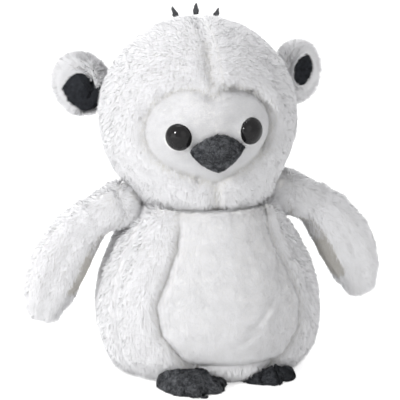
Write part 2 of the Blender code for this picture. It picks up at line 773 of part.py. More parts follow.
def ear_lining(name, side, parent):
    """The dark lining in the hollow of an ear."""
    gap_share = EAR_LINING_GAP / EAR_HALF_THICKNESS
    depth_share = EAR_LINING / EAR_HALF_THICKNESS
    hollow_shares = np.array((-0.3, -0.15, 0.26, 0.46)) + gap_share
    face_shares = np.array((0.5, 0.34, -0.15, -0.3)) + depth_share * np.array((0.0, 0.5, 1.0, 1.0))
    face_shares[2:] += gap_share
    out_shares = (0.0, 0.4, 0.66, 0.7, 0.67, 0.6, 0.38, 0.0)
    grid = ear_grid(side, out_shares, (*hollow_shares, *face_shares))
    return closed_form(name, grid, dark_minky(), parent)


def ear_cutter(name, side, parent):
    """The round seat of an ear's root in the hood."""
    hinge, _, upward, _ = ear_frame(side)
    radius = EAR_HALF_THICKNESS + EAR_SEAT_GAP
    end_radius = radius * EAR_SEAT_END_SHARE
    half = EAR_HALF_HEIGHT + FIT_GAP
    edge = half * EAR_SEAT_EDGE_SHARE
    profile = ((0.0, -half), (end_radius, -half), (radius, -edge))
    profile += ((radius, edge), (end_radius, half), (0.0, half))
    return cutter(turned_about(name, profile, hinge, upward, parent))


def turned_about(name, profile, seat, axis, parent):
    """A turned solid whose axis may be upright."""
    across = np.cross(axis, (0.0, 1.0, 0.0))
    across /= np.linalg.norm(across)
    forward = np.cross(across, axis)
    turn = np.linspace(0, 2 * math.pi, 33)[None, :, None]
    radius = np.array([point[0] for point in profile])[:, None, None]
    along = np.array([point[1] for point in profile])[:, None, None]
    grid = seat + radius * (across * np.cos(turn) + forward * np.sin(turn)) + along * axis
    return closed_form(name, grid, short_fur(), parent)


def wing_hinge(side):
    """A wing's hinge, out from the body's side by what its root doesn't sink in."""
    raised = LEFT_WING_RAISE if side > 0 else 0.0
    level = 1 - (WING_SEAT_DROP - raised) / BODY_HEIGHT
    levels = np.linspace(0, 1, 201)
    place = np.interp(level, spline(BODY_LEVEL_SHARES, levels), levels)
    lift = WING_ROOT_RADIUS - WING_SEAT_DEPTH
    seat = body_point(side * math.pi / 2, place, -lift)
    return np.array((seat[0], WING_SET_BACK, seat[2]))


def wing_rings(inset):
    """A wing's rings as (out, down) middles, their broad direction, half width and half thickness.
    It starts as a ball about its hinge and ends in a round tip."""
    place = np.linspace(0, 1, 7)
    middles = np.stack(
        (
            WING_REACH * spline(WING_OUT_SHARES, place),
            -WING_DROP * spline(WING_DOWN_SHARES, place),
        ),
        axis=-1,
    )
    along = np.gradient(middles, axis=0)
    along /= np.linalg.norm(along, axis=-1, keepdims=True)
    widths = [WING_ROOT_RADIUS] + [share * WING_HALF_WIDTH for share in WING_WIDTH_SHARES]
    thick = [WING_ROOT_RADIUS] + [share * WING_HALF_THICKNESS for share in WING_THICKNESS_SHARES]
    rings = []
    ball = WING_ROOT_RADIUS - inset
    for turn in np.radians((22, 46, 70)):
        middle = middles[0] - along[0] * ball * math.cos(turn)
        rings.append((middle, along[0], ball * math.sin(turn), ball * math.sin(turn)))
    for index, where in enumerate(place):
        half_width = float(spline(widths, where)) - inset
        half_thickness = float(spline(thick, where)) - inset
        rings.append((middles[index], along[index], half_width, half_thickness))
    last_middle, last_along, last_width, last_thickness = rings[-1]
    for turn in np.radians((36, 70)):
        middle = last_middle + last_along * (WING_TIP_REACH - inset) * math.sin(turn)
        drawn_in = math.cos(turn)
        rings.append((middle, last_along, last_width * drawn_in, last_thickness * drawn_in))
    return rings


def wing_grid(side, turns, inset):
    """Points of a wing. Turn 0 is its upper edge, a quarter turn its front, a half turn its lower edge."""
    hinge = wing_hinge(side)
    rows = []
    for row, (middle, along, half_width, half_thickness) in enumerate(wing_rings(0.0)):
        inner_middle, _, inner_width, inner_thickness = wing_rings(float(np.max(inset)))[row]
        deepest = max(float(np.max(inset)), WELD)
        share = np.asarray(inset[row] if np.ndim(inset) else inset) / deepest
        turn = turns[row]
        wide = half_width + (inner_width - half_width) * share
        thick = half_thickness + (inner_thickness - half_thickness) * share
        centre_out = middle[0] + (inner_middle[0] - middle[0]) * share
        centre_up = middle[1] + (inner_middle[1] - middle[1]) * share
        broad = wide * np.cos(turn)
        rows.append(
            np.stack(
                (
                    hinge[0] + side * (centre_out - along[1] * broad),
                    hinge[1] - thick * np.sin(turn),
                    hinge[2] + centre_up + along[0] * broad,
                ),
                axis=-1,
            )
        )
    return np.stack(rows)


def wing_panel(name, side, start, end, columns, material, parent):
    """One of a wing's two panels, from seam to seam."""
    rings = wing_rings(0.0)
    across = crowded(columns)
    turns, insets = [], []
    for _, _, half_width, half_thickness in rings:
        radius = (half_width + half_thickness) / 2
        half_gap = SEAM_GAP / radius
        turns.append(start + half_gap + (end - start - 2 * half_gap) * across)
        distance = np.minimum(across, 1 - across) * (end - start) * radius
        insets.append(SEAM_ROLL_DEPTH * WING_ROLL_SHARE * roll(distance))
    outer = wing_grid(side, np.stack(turns), np.stack(insets))
    inner = wing_grid(side, np.stack(turns), WING_SKIN)
    return panel(name, outer, inner, material, parent)


def wing_stuffing(name, side, parent):
    turn = np.linspace(0, 2 * math.pi, 17)
    inset = WING_SKIN + STUFFING_GAP
    rings = wing_rings(0.0)
    grid = wing_grid(side, np.tile(turn, (len(rings), 1)), inset)
    first = np.repeat(grid[:1].mean(axis=1, keepdims=True), len(turn), axis=1)
    last = np.repeat(grid[-1:].mean(axis=1, keepdims=True), len(turn), axis=1)
    return closed_form(name, np.concatenate((first, grid, last)), polyester(), parent)


def wing_cutter(name, side, parent):
    """The round seat of a wing's root in the body's side."""
    radius = WING_ROOT_RADIUS + WING_DISH_GAP
    profile = [(radius * math.sin(turn), radius * -math.cos(turn)) for turn in np.linspace(0, math.pi, 17)]
    return cutter(turned_about(name, profile, wing_hinge(side), np.array((0.0, 0.0, 1.0)), parent))


def foot_place(side):
    """A foot's middle on the ground. The right foot stands a little further forward."""
    back = FOOT_STAGGER * (1 + side) / 2
    return side * FOOT_SPREAD, FOOT_HALF_LENGTH - FOOT_REACH + back


def foot_grid(side, climbs, inset):
    """Rings of a foot from its rim to its top, with three toes in front."""
    x, y = foot_place(side)
    turn = np.linspace(-math.pi, math.pi, 37)[None, :]
    climb = np.array(climbs)[:, None]
    notch = np.exp(-(((np.abs(turn) - TOE_SPACING_TURN / 2) / TOE_NOTCH_TURN) ** 2))
    half_width = FOOT_HALF_WIDTH - inset
    half_length = FOOT_HALF_LENGTH - inset
    across = np.abs(np.sin(turn) / half_width) ** FOOT_SQUARENESS
    along = np.abs(np.cos(turn) / half_length) ** FOOT_SQUARENESS
    reach = (across + along) ** (-1 / FOOT_SQUARENESS)
    reach = reach * (1 - TOE_NOTCH_SHARE * notch) * np.cos(climb) ** FOOT_DOME_BEND
    aim = turn + side * FOOT_TOE_OUT
    dip = 1 - TOE_DIP_SHARE * notch * np.cos(climb) ** TOE_DIP_BEND
    height = (FOOT_HEIGHT - inset) * np.sin(climb) * dip
    return np.stack((x + reach * np.sin(aim), y - reach * np.cos(aim), height), axis=-1)


def foot_upper(name, side, parent):
    climbs = np.radians((90, 60, 36, 16, 0))
    outer = foot_grid(side, climbs, 0.0)
    inner = foot_grid(side, climbs, FOOT_FABRIC)
    return panel(name, outer, inner, dark_minky(), parent, ring=True, pole=True)


def foot_sole(name, side, parent):
    rim = foot_grid(side, (0.0,), FOOT_FABRIC + FIT_GAP * 2)
    middle = np.array((*foot_place(side), 0.0))
    top = rim + np.array((0.0, 0.0, FOOT_FABRIC))
    low_point = np.zeros_like(rim) + middle
    high_point = low_point + np.array((0.0, 0.0, FOOT_FABRIC))
    grid = np.concatenate((low_point, rim, top, high_point))
    return closed_form(name, grid, dark_minky(), parent)


def foot_stuffing(name, side, parent):
    inset = FOOT_FABRIC + STUFFING_GAP
    floor = FOOT_FABRIC + STUFFING_GAP
    lowest = math.asin(floor / (FOOT_HEIGHT - inset) * FOOT_FLOOR_RISE)
    climb_shares = np.array((1.0, 0.62, 0.3, 0.0))
    climbs = lowest + (math.pi / 2 - lowest) * climb_shares
    dome = foot_grid(side, climbs, inset)
    dome[..., 2] = np.maximum(dome[..., 2], floor)
    middle = np.zeros_like(dome[:1]) + np.array((*foot_place(side), floor))
    return closed_form(name, np.concatenate((dome, middle)), polyester(), parent)


def body_cutter(name, seam_share, parent):
    """The body with its fit gap all round, which the feet end at. The share of its sunk seams is 1 for
    the feet's fabric, and 0 for their stuffing, which ends at the plain round of the body."""
    turn = np.linspace(-math.pi, math.pi, 73)[None, :]
    level = crowded(BODY_ROWS)[:, None]
    half_width = belly_edge(1, level) - BELLY_AIM
    across = np.clip((turn - BELLY_AIM) / half_width, -1.0, 1.0)
    raised = BELLY_BULGE * np.cos(math.pi / 2 * across) * spline(BELLY_BULGE_SHARES, level)
    set_in = np.where(np.abs(across) < BELLY_FLAT_SHARE, BELLY_SET_IN, 0.0)
    sunk = seam_share * (set_in + SEAM_ROLL_DEPTH * roll(level * BODY_HEIGHT))
    sides = body_point(turn, level, sunk - raised - FIT_GAP)
    rim = body_point(turn, 0.0)[..., :2]
    below = [np.dstack((rim, np.full_like(turn, height))) for height in (-FOOT_FABRIC, 0.0)]
    low_point = np.zeros_like(sides[:1]) + np.array((0.0, 0.0, -FOOT_FABRIC))
    high_point = np.zeros_like(sides[:1]) + np.array((0.0, 0.0, BODY_HEIGHT))
    grid = np.concatenate((low_point, *below, sides, high_point))
    return cutter(closed_form(name, grid, short_fur(), parent))


def make_body(root):
    torso = empty("torso", (0.0, 0.0, 0.0), root)
    level = crowded(BODY_ROWS)[:, None]
    left, right = belly_edge(1, level), belly_edge(-1, level)
    body_panel("belly_panel", right, left, BELLY_SET_IN, BELLY_BULGE, 11, short_fur(), torso)
    for name, side in SIDES:
        seam = side * SIDE_SEAM_TURN + 0 * level
        strip = sorted((belly_edge(side, level), seam), key=np.mean)
        back = sorted((seam, side * math.pi + 0 * level), key=np.mean)
        body_panel(f"body_side_panel_{name}", *strip, 0.0, 0.0, 7, long_fur(), torso)
        made = body_panel(f"body_back_panel_{name}", *back, 0.0, 0.0, 9, long_fur(), torso)
        cut(made, wing_cutter(f"wing_seat_{name}", side, torso))
    base_panel(torso)
    body_stuffing(torso)
    pellet_bag(torso)
    return torso


def make_feet(torso):
    skin = body_cutter("body_skin", 1.0, torso)
    plain = body_cutter("body_plain", 0.0, torso)
    for name, side in SIDES:
        cut(foot_upper(f"foot_{name}_upper", side, torso), skin)
        cut(foot_sole(f"foot_{name}_sole", side, torso), skin)
        cut(foot_stuffing(f"foot_{name}_stuffing", side, torso), plain)


def make_head(root):
    neck = empty("neck", HEAD_CENTRE, root)
    neck_stuffing(neck)
    head = empty("head", HEAD_CENTRE, neck, lean=-HEAD_LEAN, turn=HEAD_TURN)
    face = face_panel(head)
    for name, side in SIDES:
        hood_panel(f"hood_panel_{name}", side, head)
    back = head_back_panel(head)
    stuffing = head_stuffing(head)
    for name, side in SIDES:
        eye(f"eye_{name}", side, head)
        eye_washer(f"eye_washer_{name}", side, head)
        hole = eye_cutter(f"eye_hole_{name}", side, head)
        cut(face, hole)
        cut(stuffing, hole)
        cut(back, ear_cutter(f"ear_seat_{name}", side, head))
    beak_half("beak_upper", 0.0, head)
    beak_half("beak_lower", math.pi, head)
    beak_stuffing(head)
    for name, place in (("right", -1), ("middle", 0), ("left", 1)):
        crest_felt(f"crest_felt_{name}", place, head)
    return head


def make_ears(head):
    for name, side in SIDES:
        body = empty(f"ear_{name}", ear_frame(side)[0], head)
        ear_outer(f"ear_{name}_outer", side, body)
        ear_lining(f"ear_{name}_lining", side, body)


def make_wings(torso):
    for name, side in SIDES:
        lean = -LEFT_WING_LIFT if side > 0 else 0.0
        body = empty(f"wing_{name}", wing_hinge(side), torso, lean=lean)
        whole = 2 * math.pi
        wing_panel(f"wing_{name}_inner", side, WING_FRONT_SEAM, WING_UNDER_SEAM, 7, short_fur(), body)
        wing_panel(
            f"wing_{name}_outer", side, WING_UNDER_SEAM, WING_FRONT_SEAM + whole, 10, long_fur(), body
        )
        wing_stuffing(f"wing_{name}_stuffing", side, body)


def centre(root):
    """Moves the owl until the middle of its extents is over the origin."""
    bpy.context.view_layer.update()
    shown = [made for made in bpy.data.objects if made.type == "MESH" and not made.hide_render]
    corners = [made.matrix_world @ vertex.co for made in shown for vertex in made.data.vertices]
    for axis in (0, 1):
        places = [corner[axis] for corner in corners]
        root.location[axis] = -(min(places) + max(places)) / 2
    bpy.context.view_layer.update()


def main():
    for old in list(bpy.data.objects):
        bpy.data.objects.remove(old, do_unlink=True)
    root = empty("owl", (0.0, 0.0, 0.0))
    torso = make_body(root)
    make_feet(torso)
    head = make_head(root)
    make_ears(head)
    make_wings(torso)
    centre(root)


main()
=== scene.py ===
"""Looks of the plush owl: sewn skins over the frame, combed pile, eyes, felts and the studio."""

import json
import math

import bpy
import numpy as np
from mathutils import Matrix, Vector
from mathutils.bvhtree import BVHTree

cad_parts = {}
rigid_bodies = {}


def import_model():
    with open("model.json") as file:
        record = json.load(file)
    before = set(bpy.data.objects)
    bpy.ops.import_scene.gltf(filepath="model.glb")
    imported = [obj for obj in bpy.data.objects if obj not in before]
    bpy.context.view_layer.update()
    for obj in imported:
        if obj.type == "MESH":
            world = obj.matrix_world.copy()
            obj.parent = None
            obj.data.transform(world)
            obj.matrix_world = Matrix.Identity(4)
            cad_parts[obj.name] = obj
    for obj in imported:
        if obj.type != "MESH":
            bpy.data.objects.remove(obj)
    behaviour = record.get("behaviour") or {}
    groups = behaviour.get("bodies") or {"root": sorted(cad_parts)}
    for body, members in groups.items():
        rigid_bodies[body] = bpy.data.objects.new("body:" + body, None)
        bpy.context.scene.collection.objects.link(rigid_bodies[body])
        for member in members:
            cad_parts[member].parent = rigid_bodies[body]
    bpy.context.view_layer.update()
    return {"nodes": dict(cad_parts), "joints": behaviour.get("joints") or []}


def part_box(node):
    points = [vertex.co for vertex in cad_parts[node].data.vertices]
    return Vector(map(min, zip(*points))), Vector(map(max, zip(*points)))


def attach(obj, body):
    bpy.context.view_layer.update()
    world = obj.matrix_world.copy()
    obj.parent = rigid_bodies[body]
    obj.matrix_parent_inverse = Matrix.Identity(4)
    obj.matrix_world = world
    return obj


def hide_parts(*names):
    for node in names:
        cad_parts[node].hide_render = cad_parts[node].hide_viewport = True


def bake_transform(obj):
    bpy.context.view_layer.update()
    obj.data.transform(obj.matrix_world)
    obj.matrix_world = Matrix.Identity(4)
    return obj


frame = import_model()
scene = bpy.context.scene
MM = 0.001
GAP_CLOSER = 0.45 * MM
SEAM_HOLD = 2.6 * MM
SWELL_FRAMES = 14
WARM_FROM = 0.75
TONE_COLUMNS = 64
HEAD_MIDDLE = -2.0 * MM
FREE_REACH = 9.0 * MM
RAY_START = 1.5 * MM
FLOOR_GAP = 0.05 * MM
SIDES = ("left", "right")
UP = np.array((0.0, 0.0, 1.0))


# ---- small tools ---------------------------------------------------------------------------

def alone(piece):
    """Selects one object and makes it active."""
    bpy.ops.object.select_all(action="DESELECT")
    piece.select_set(True)
    bpy.context.view_layer.objects.active = piece


def finish_with(piece, kind, **settings):
    """Adds one modifier and applies it."""
    alone(piece)
    modifier = piece.modifiers.new(kind.title(), kind)
    for name, value in settings.items():
        setattr(modifier, name, value)
    bpy.ops.object.modifier_apply(modifier=modifier.name)


def points_of(mesh):
    found = np.empty(len(mesh.vertices) * 3, np.float32)
    mesh.vertices.foreach_get("co", found)
    return found.reshape(-1, 3).astype(float)


def normals_of(mesh):
    found = np.empty(len(mesh.vertices) * 3, np.float32)
    mesh.vertex_normals.foreach_get("vector", found)
    return found.reshape(-1, 3).astype(float)


def move_points(mesh, points):
    mesh.vertices.foreach_set("co", points.astype(np.float32).ravel())
    mesh.update()


def unit(rows):
    return rows / np.maximum(np.linalg.norm(rows, axis=-1, keepdims=True), 1e-9)


def smooth_step(values, low, high):
    t = np.clip((values - low) / (high - low), 0.0, 1.0)
    return t * t * (3.0 - 2.0 * t)


def hump(off, width):
    """From 1 where off is 0 down to nothing a few widths away."""
    return np.exp(-(off / width) ** 2)


def lattice(cells, seed):
    """A repeatable number from 0 to 1 for each whole-number cell."""
    x, y, z = cells[..., 0], cells[..., 1], cells[..., 2]
    mixed = x * 73856093 ^ y * 19349663 ^ z * 83492791 ^ seed * 2654435
    mixed = (mixed ^ (mixed >> 13)) * 1274126177 & 0x7FFFFFFF
    return ((mixed ^ (mixed >> 16)) & 0xFFFFF) / float(0xFFFFF)


def waves(points, size, seed):
    """Smooth noise from -1 to 1 whose features are about size across."""
    place = points / size + 1000.0
    whole = np.floor(place).astype(np.int64)
    part = place - whole
    part = part * part * (3.0 - 2.0 * part)
    total = np.zeros(len(points))
    for corner in range(8):
        step = np.array((corner & 1, corner >> 1 & 1, corner >> 2 & 1))
        share = np.prod(np.where(step == 1, part, 1.0 - part), axis=1)
        total += share * lattice(whole + step, seed)
    return total * 2.0 - 1.0


def wave_vectors(points, size, seed):
    return np.stack([waves(points, size, seed + turn) for turn in range(3)], axis=1)


# ---- finishes ------------------------------------------------------------------------------

class Wire:
    """A socket whose sums add Math nodes."""

    def __init__(self, finish, socket):
        self.finish = finish
        self.socket = socket

    def sum(self, operation, other):
        return self.finish.add("ShaderNodeMath", {0: self, 1: other}, operation=operation)

    def __add__(self, other):
        return self.sum("ADD", other)

    def __mul__(self, other):
        return self.sum("MULTIPLY", other)

    __radd__ = __add__


class Finish:
    """One material and the nodes that make it."""

    def __init__(self, name):
        self.material = bpy.data.materials.new(name)
        self.material.use_nodes = True
        self.tree = self.material.node_tree
        self.tree.nodes.clear()

    def add(self, kind, sockets=None, out=0, **settings):
        node = self.tree.nodes.new(kind)
        for name, value in settings.items():
            setattr(node, name, value)
        for name, value in (sockets or {}).items():
            if isinstance(value, Wire):
                self.tree.links.new(value.socket, node.inputs[name])
            else:
                node.inputs[name].default_value = value
        return Wire(self, node.outputs[out])

    def place(self):
        return self.add("ShaderNodeTexCoord", out=3)

    def noise(self, spot, size, detail, rough=0.55):
        sockets = {"Vector": spot, "Scale": 1.0 / size, "Detail": detail, "Roughness": rough}
        return self.add("ShaderNodeTexNoise", sockets)

    def blend(self, share, first, second):
        return self.add("ShaderNodeMix", {0: share, 6: first, 7: second}, out=2, data_type="RGBA")

    def surface(self, **sockets):
        named = {name.replace("_", " "): value for name, value in sockets.items()}
        self.add_end(self.add("ShaderNodeBsdfPrincipled", named))
        return self.material

    def add_end(self, shader):
        end = self.tree.nodes.new("ShaderNodeOutputMaterial")
        self.tree.links.new(shader.socket, end.inputs["Surface"])


def colour(red, green, blue):
    return (red, green, blue, 1.0)


def pile_finish(name, dim, bright, warm, deep, root_shade):
    """Strands, read from their own map: root to tip along it, darker toward the root as painted shade deep in the
    pile, and across it plain strands from dim to bright, then warm ones from warm to deep, the tones that paint shade
    in seams."""
    made = Finish(name)
    spot = made.add("ShaderNodeUVMap", uv_map="OFBake")
    across = made.add("ShaderNodeSeparateXYZ", {0: spot}, out=0)
    along = made.add("ShaderNodeSeparateXYZ", {0: spot}, out=1)
    tone = made.add("ShaderNodeMapRange", {"Value": across, "From Max": WARM_FROM})
    shade = made.add("ShaderNodeMapRange", {"Value": across, "From Min": WARM_FROM})
    plain_strand = made.blend(tone, colour(*dim), colour(*bright))
    warm_strand = made.blend(shade, colour(*warm), colour(*deep))
    is_warm = made.add("ShaderNodeMath", {0: across, 1: WARM_FROM}, operation="GREATER_THAN")
    strand = made.blend(is_warm, plain_strand, warm_strand)
    # Strands darken toward their roots: painted shade deep in the pile.
    light = made.add("ShaderNodeMapRange", {"Value": along, "From Max": 0.8, "To Min": root_shade})
    base = made.add("ShaderNodeVectorMath", {0: strand, 3: light}, operation="SCALE")
    return made.surface(Base_Color=base, Roughness=0.75 + tone * 0.15, Specular_IOR_Level=0.2)


def skin_finish(name, light, dark, nap, depth):
    """The backing and the foot of its pile, with a fine nap."""
    made = Finish(name)
    spot = made.place()
    cloud = made.noise(spot, 14 * MM, 2.0)
    fine = made.noise(spot, nap, 4.0, 0.7)
    tone = made.blend(cloud * 0.6 + fine * 0.4, colour(*dark), colour(*light))
    bump = made.add("ShaderNodeBump", {"Strength": 0.6, "Distance": depth, "Height": fine})
    rough = 0.8 + fine * 0.15
    return made.surface(Base_Color=tone, Roughness=rough, Normal=bump, Specular_IOR_Level=0.2)


LONG_WHITE = pile_finish(
    "long_white_pile", (0.86, 0.86, 0.87), (0.92, 0.92, 0.933), (0.83, 0.82, 0.79), (0.72, 0.705, 0.67),
    0.95)
HOOD_WHITE = pile_finish(
    "hood_white_pile", (0.81, 0.81, 0.821), (0.875, 0.875, 0.888), (0.8, 0.79, 0.76),
    (0.71, 0.695, 0.66), 0.95)
# A darker copy of the long white pile: painted shade, used on one ear only.
DIMMED_EAR_WHITE = pile_finish(
    "ear_white_pile_painted_shade", (0.71, 0.71, 0.722), (0.78, 0.78, 0.793), (0.7, 0.69, 0.66), (0.62, 0.605, 0.57),
    0.92)
# The wing's inner pile: real cream, made darker still as painted shade.
CREAM_AND_SHADE_WHITE = pile_finish(
    "cream_short_pile_painted_shade", (0.7, 0.68, 0.65), (0.8, 0.785, 0.76), (0.72, 0.695, 0.655), (0.62, 0.6, 0.555),
    0.9)
FACE_WHITE = pile_finish(
    "face_white_pile", (0.705, 0.705, 0.716), (0.775, 0.775, 0.79), (0.74, 0.73, 0.7),
    (0.66, 0.645, 0.61), 0.92)
SHORT_WHITE = pile_finish(
    "short_white_pile", (0.8, 0.8, 0.811), (0.87, 0.87, 0.884), (0.8, 0.79, 0.76), (0.7, 0.685, 0.65),
    0.92)
DARK_CURL = pile_finish(
    "dark_grey_curl", (0.008, 0.009, 0.011), (0.2, 0.207, 0.222), (0.05, 0.052, 0.058),
    (0.02, 0.02, 0.022), 0.3)
# A darker copy of the grey curl: painted shade for the foot away from the key lamp.
SHADED_CURL = pile_finish(
    "dark_grey_curl_painted_shade", (0.005, 0.006, 0.008), (0.085, 0.09, 0.1), (0.022, 0.024, 0.028),
    (0.01, 0.01, 0.012), 0.3)
BLACK_NAP = pile_finish(
    "blue_black_nap", (0.006, 0.007, 0.01), (0.045, 0.049, 0.058), (0.02, 0.02, 0.022),
    (0.01, 0.01, 0.012), 0.5)
WHITE_BACKING = skin_finish(
    "white_backing", (0.84, 0.835, 0.83), (0.76, 0.75, 0.73), 0.9 * MM, 0.35 * MM)
DARK_BACKING = skin_finish(
    "dark_backing", (0.032, 0.034, 0.04), (0.014, 0.015, 0.018), 0.8 * MM, 0.3 * MM)
FELT = skin_finish("grey_felt", (0.075, 0.076, 0.08), (0.035, 0.036, 0.04), 0.35 * MM, 0.15 * MM)


def eye_finish():
    made = Finish("black_safety_eye")
    worn = made.noise(made.place(), 1.2 * MM, 3.0)
    tone = made.blend(worn, colour(0.006, 0.006, 0.007), colour(0.012, 0.011, 0.011))
    return made.surface(Base_Color=tone, Roughness=0.03 + worn * 0.02, IOR=1.32)


BLACK_PLASTIC = eye_finish()


# ---- sewn skins ----------------------------------------------------------------------------

def copy_of(name, nodes):
    """One new object from copies of CAD nodes, with their doubles merged."""
    parts = []
    for node in nodes:
        part = bpy.data.objects.new(name, frame["nodes"][node].data.copy())
        scene.collection.objects.link(part)
        parts.append(part)
    bpy.ops.object.select_all(action="DESELECT")
    for part in parts:
        part.select_set(True)
    bpy.context.view_layer.objects.active = parts[0]
    if len(parts) > 1:
        bpy.ops.object.join()
    piece = parts[0]
    piece.data.materials.clear()
    bpy.ops.object.mode_set(mode="EDIT")
    bpy.ops.mesh.select_all(action="SELECT")
    bpy.ops.mesh.remove_doubles(threshold=0.02 * MM)
    bpy.ops.object.mode_set(mode="OBJECT")
    piece.name = name
    return piece


def keep_outside(piece):
    """Removes what the remesh leaves inside the closed form."""
    points = points_of(piece.data)
    alone(piece)
    bpy.ops.object.mode_set(mode="EDIT")
    bpy.ops.mesh.select_all(action="DESELECT")
    bpy.ops.object.mode_set(mode="OBJECT")
    piece.data.vertices[int(points[:, 0].argmax())].select = True
    bpy.ops.object.mode_set(mode="EDIT")
    bpy.ops.mesh.select_linked()
    bpy.ops.mesh.select_all(action="INVERT")
    bpy.ops.mesh.delete(type="VERT")
    bpy.ops.object.mode_set(mode="OBJECT")


def tree_of(nodes):
    """For each CAD panel, a tree that finds its nearest point."""
    trees = {}
    for node in nodes:
        mesh = frame["nodes"][node].data
        mesh.calc_loop_triangles()
        corners = [tuple(t.vertices) for t in mesh.loop_triangles]
        trees[node] = BVHTree.FromPolygons([v.co for v in mesh.vertices], corners)
    return trees


def distances(points, tree):
    return np.array([tree.find_nearest(Vector(p))[3] for p in points])


class Form:
    """A finished closed form that pile can grow on."""

    def __init__(self, piece, body, panels):
        self.piece, self.body, self.panels = piece, body, list(panels)

    def attach(self, piece):
        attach(piece, self.body)

    def read(self):
        """Takes the finished mesh's arrays, for the pile."""
        mesh = self.piece.data
        mesh.calc_loop_triangles()
        corners = np.empty(len(mesh.loop_triangles) * 3, np.int32)
        mesh.loop_triangles.foreach_get("vertices", corners)
        self.corners = corners.reshape(-1, 3)
        self.points = points_of(mesh)
        self.normals = normals_of(mesh)
        self.reach = self.reaches()
        sides = self.points[self.corners]
        self.areas = 0.5 * np.linalg.norm(
            np.cross(sides[:, 1] - sides[:, 0], sides[:, 2] - sides[:, 0]), axis=1)

    def reaches(self):
        """How far each point lies from each panel, in metres."""
        rows = []
        for index in range(len(self.panels)):
            found = np.zeros(len(self.piece.data.vertices), np.float32)
            if "reach_%d" % index in self.piece.data.attributes:
                self.piece.data.attributes["reach_%d" % index].data.foreach_get("value", found)
            rows.append(found.astype(float))
        return np.stack(rows, axis=1)


class Skin(Form):
    """A padded form sewn from panels, swelled over the CAD's own shape.

    insets gives how deep each panel's backing lies under its pile, and snug the share of that at
    each point. swell is the stuffing's pressure, and cap the furthest that it pushes."""

    def __init__(
            self, name, body, panels, insets, filling=(), voxel=3.0 * MM, swell=3.0, cap=1.6 * MM,
            levels=1, snug=None):
        super().__init__(copy_of(name, [*panels, *filling]), body, panels)
        self.cap, self.levels = cap, levels
        finish_with(self.piece, "DISPLACE", strength=GAP_CLOSER, mid_level=0.0)
        finish_with(self.piece, "REMESH", mode="VOXEL", voxel_size=voxel, use_smooth_shade=True)
        keep_outside(self.piece)
        mesh = self.piece.data
        points = points_of(mesh)
        reach = np.stack([distances(points, tree) for tree in tree_of(self.panels).values()], axis=1)
        order = np.sort(reach, axis=1)
        seam = order[:, 1] - order[:, 0] if reach.shape[1] > 1 else np.full(len(points), 1.0)
        shares = (reach <= order[:, :1] + 1e-9).astype(float)
        shares /= shares.sum(axis=1, keepdims=True)
        inset = shares @ np.array([insets[panel] for panel in self.panels])
        if snug is not None:
            inset = inset * snug(points)
        inset = self.evened(mesh, inset, 3)
        move_points(mesh, points - normals_of(mesh) * (inset + GAP_CLOSER)[:, None])
        for index in range(len(self.panels)):
            kept = mesh.attributes.new("reach_%d" % index, "FLOAT", "POINT")
            kept.data.foreach_set("value", reach[:, index].astype(np.float32))
        finish_with(self.piece, "SMOOTH", factor=0.5, iterations=2)
        self.start = points_of(mesh)
        held = self.piece.vertex_groups.new(name="sewn")
        hold = 1.0 - smooth_step(seam, 0.4 * SEAM_HOLD, SEAM_HOLD)
        for index in np.flatnonzero(hold > 0.02):
            held.add([int(index)], float(hold[index]), "REPLACE")
        self.stuff(swell)

    def evened(self, mesh, values, rounds):
        edges = np.array([e.vertices[:] for e in mesh.edges])
        for _ in range(rounds):
            total = np.bincount(
                edges[:, 0], values[edges[:, 1]],
                len(values)) + np.bincount(edges[:, 1], values[edges[:, 0]], len(values))
            count = np.bincount(edges.ravel(), minlength=len(values))
            values = 0.5 * values + 0.5 * total / np.maximum(count, 1)
        return values

    def stuff(self, swell):
        """Lets the stuffing press the skin out as cloth."""
        cloth = self.piece.modifiers.new("Stuffing", "CLOTH")
        cloth.settings.quality = 4
        cloth.settings.mass = 0.25
        cloth.settings.tension_stiffness = 12.0
        cloth.settings.compression_stiffness = 12.0
        cloth.settings.bending_stiffness = 0.6
        cloth.settings.use_pressure = True
        cloth.settings.uniform_pressure_force = swell
        cloth.settings.vertex_group_mass = "sewn"
        cloth.settings.effector_weights.gravity = 0.0
        cloth.collision_settings.use_collision = False
        cloth.collision_settings.use_self_collision = False
        cloth.point_cache.frame_start = 1
        cloth.point_cache.frame_end = SWELL_FRAMES

    def close(self):
        """Keeps the swelled shape within its cap, then subdivides it."""
        if "Stuffing" in self.piece.modifiers:
            alone(self.piece)
            bpy.ops.object.modifier_apply(modifier="Stuffing")
            moved = points_of(self.piece.data) - self.start
            far = np.linalg.norm(moved, axis=1, keepdims=True)
            capped = moved * (self.cap * np.tanh(far / self.cap) / np.maximum(far, 1e-9))
            move_points(self.piece.data, self.start + capped)
        if self.levels:
            finish_with(self.piece, "SUBSURF", levels=self.levels, render_levels=self.levels)
        for polygon in self.piece.data.polygons:
            polygon.use_smooth = True

    def sink(self, low, high, depth, low_width, high_width, where=None):
        """Draws a seam in: the panels in low fall to it gently, and those in high roll over it."""
        mesh = self.piece.data
        reach, points, normals = self.reaches(), points_of(mesh), normals_of(mesh)
        to_low = reach[:, [self.panels.index(panel) for panel in low]].min(axis=1)
        to_high = reach[:, [self.panels.index(panel) for panel in high]].min(axis=1)
        near = np.minimum(to_low, to_high) <= reach.min(axis=1) + 0.5 * MM
        off = to_high - to_low
        share = np.where(off > 0, hump(off, low_width), hump(off, high_width)) * near
        if where is not None:
            share = share * where(points)
        move_points(mesh, points - normals * (share * depth)[:, None])


LONG, SHORT, NAP = 4.2 * MM, 1.7 * MM, 0.9 * MM

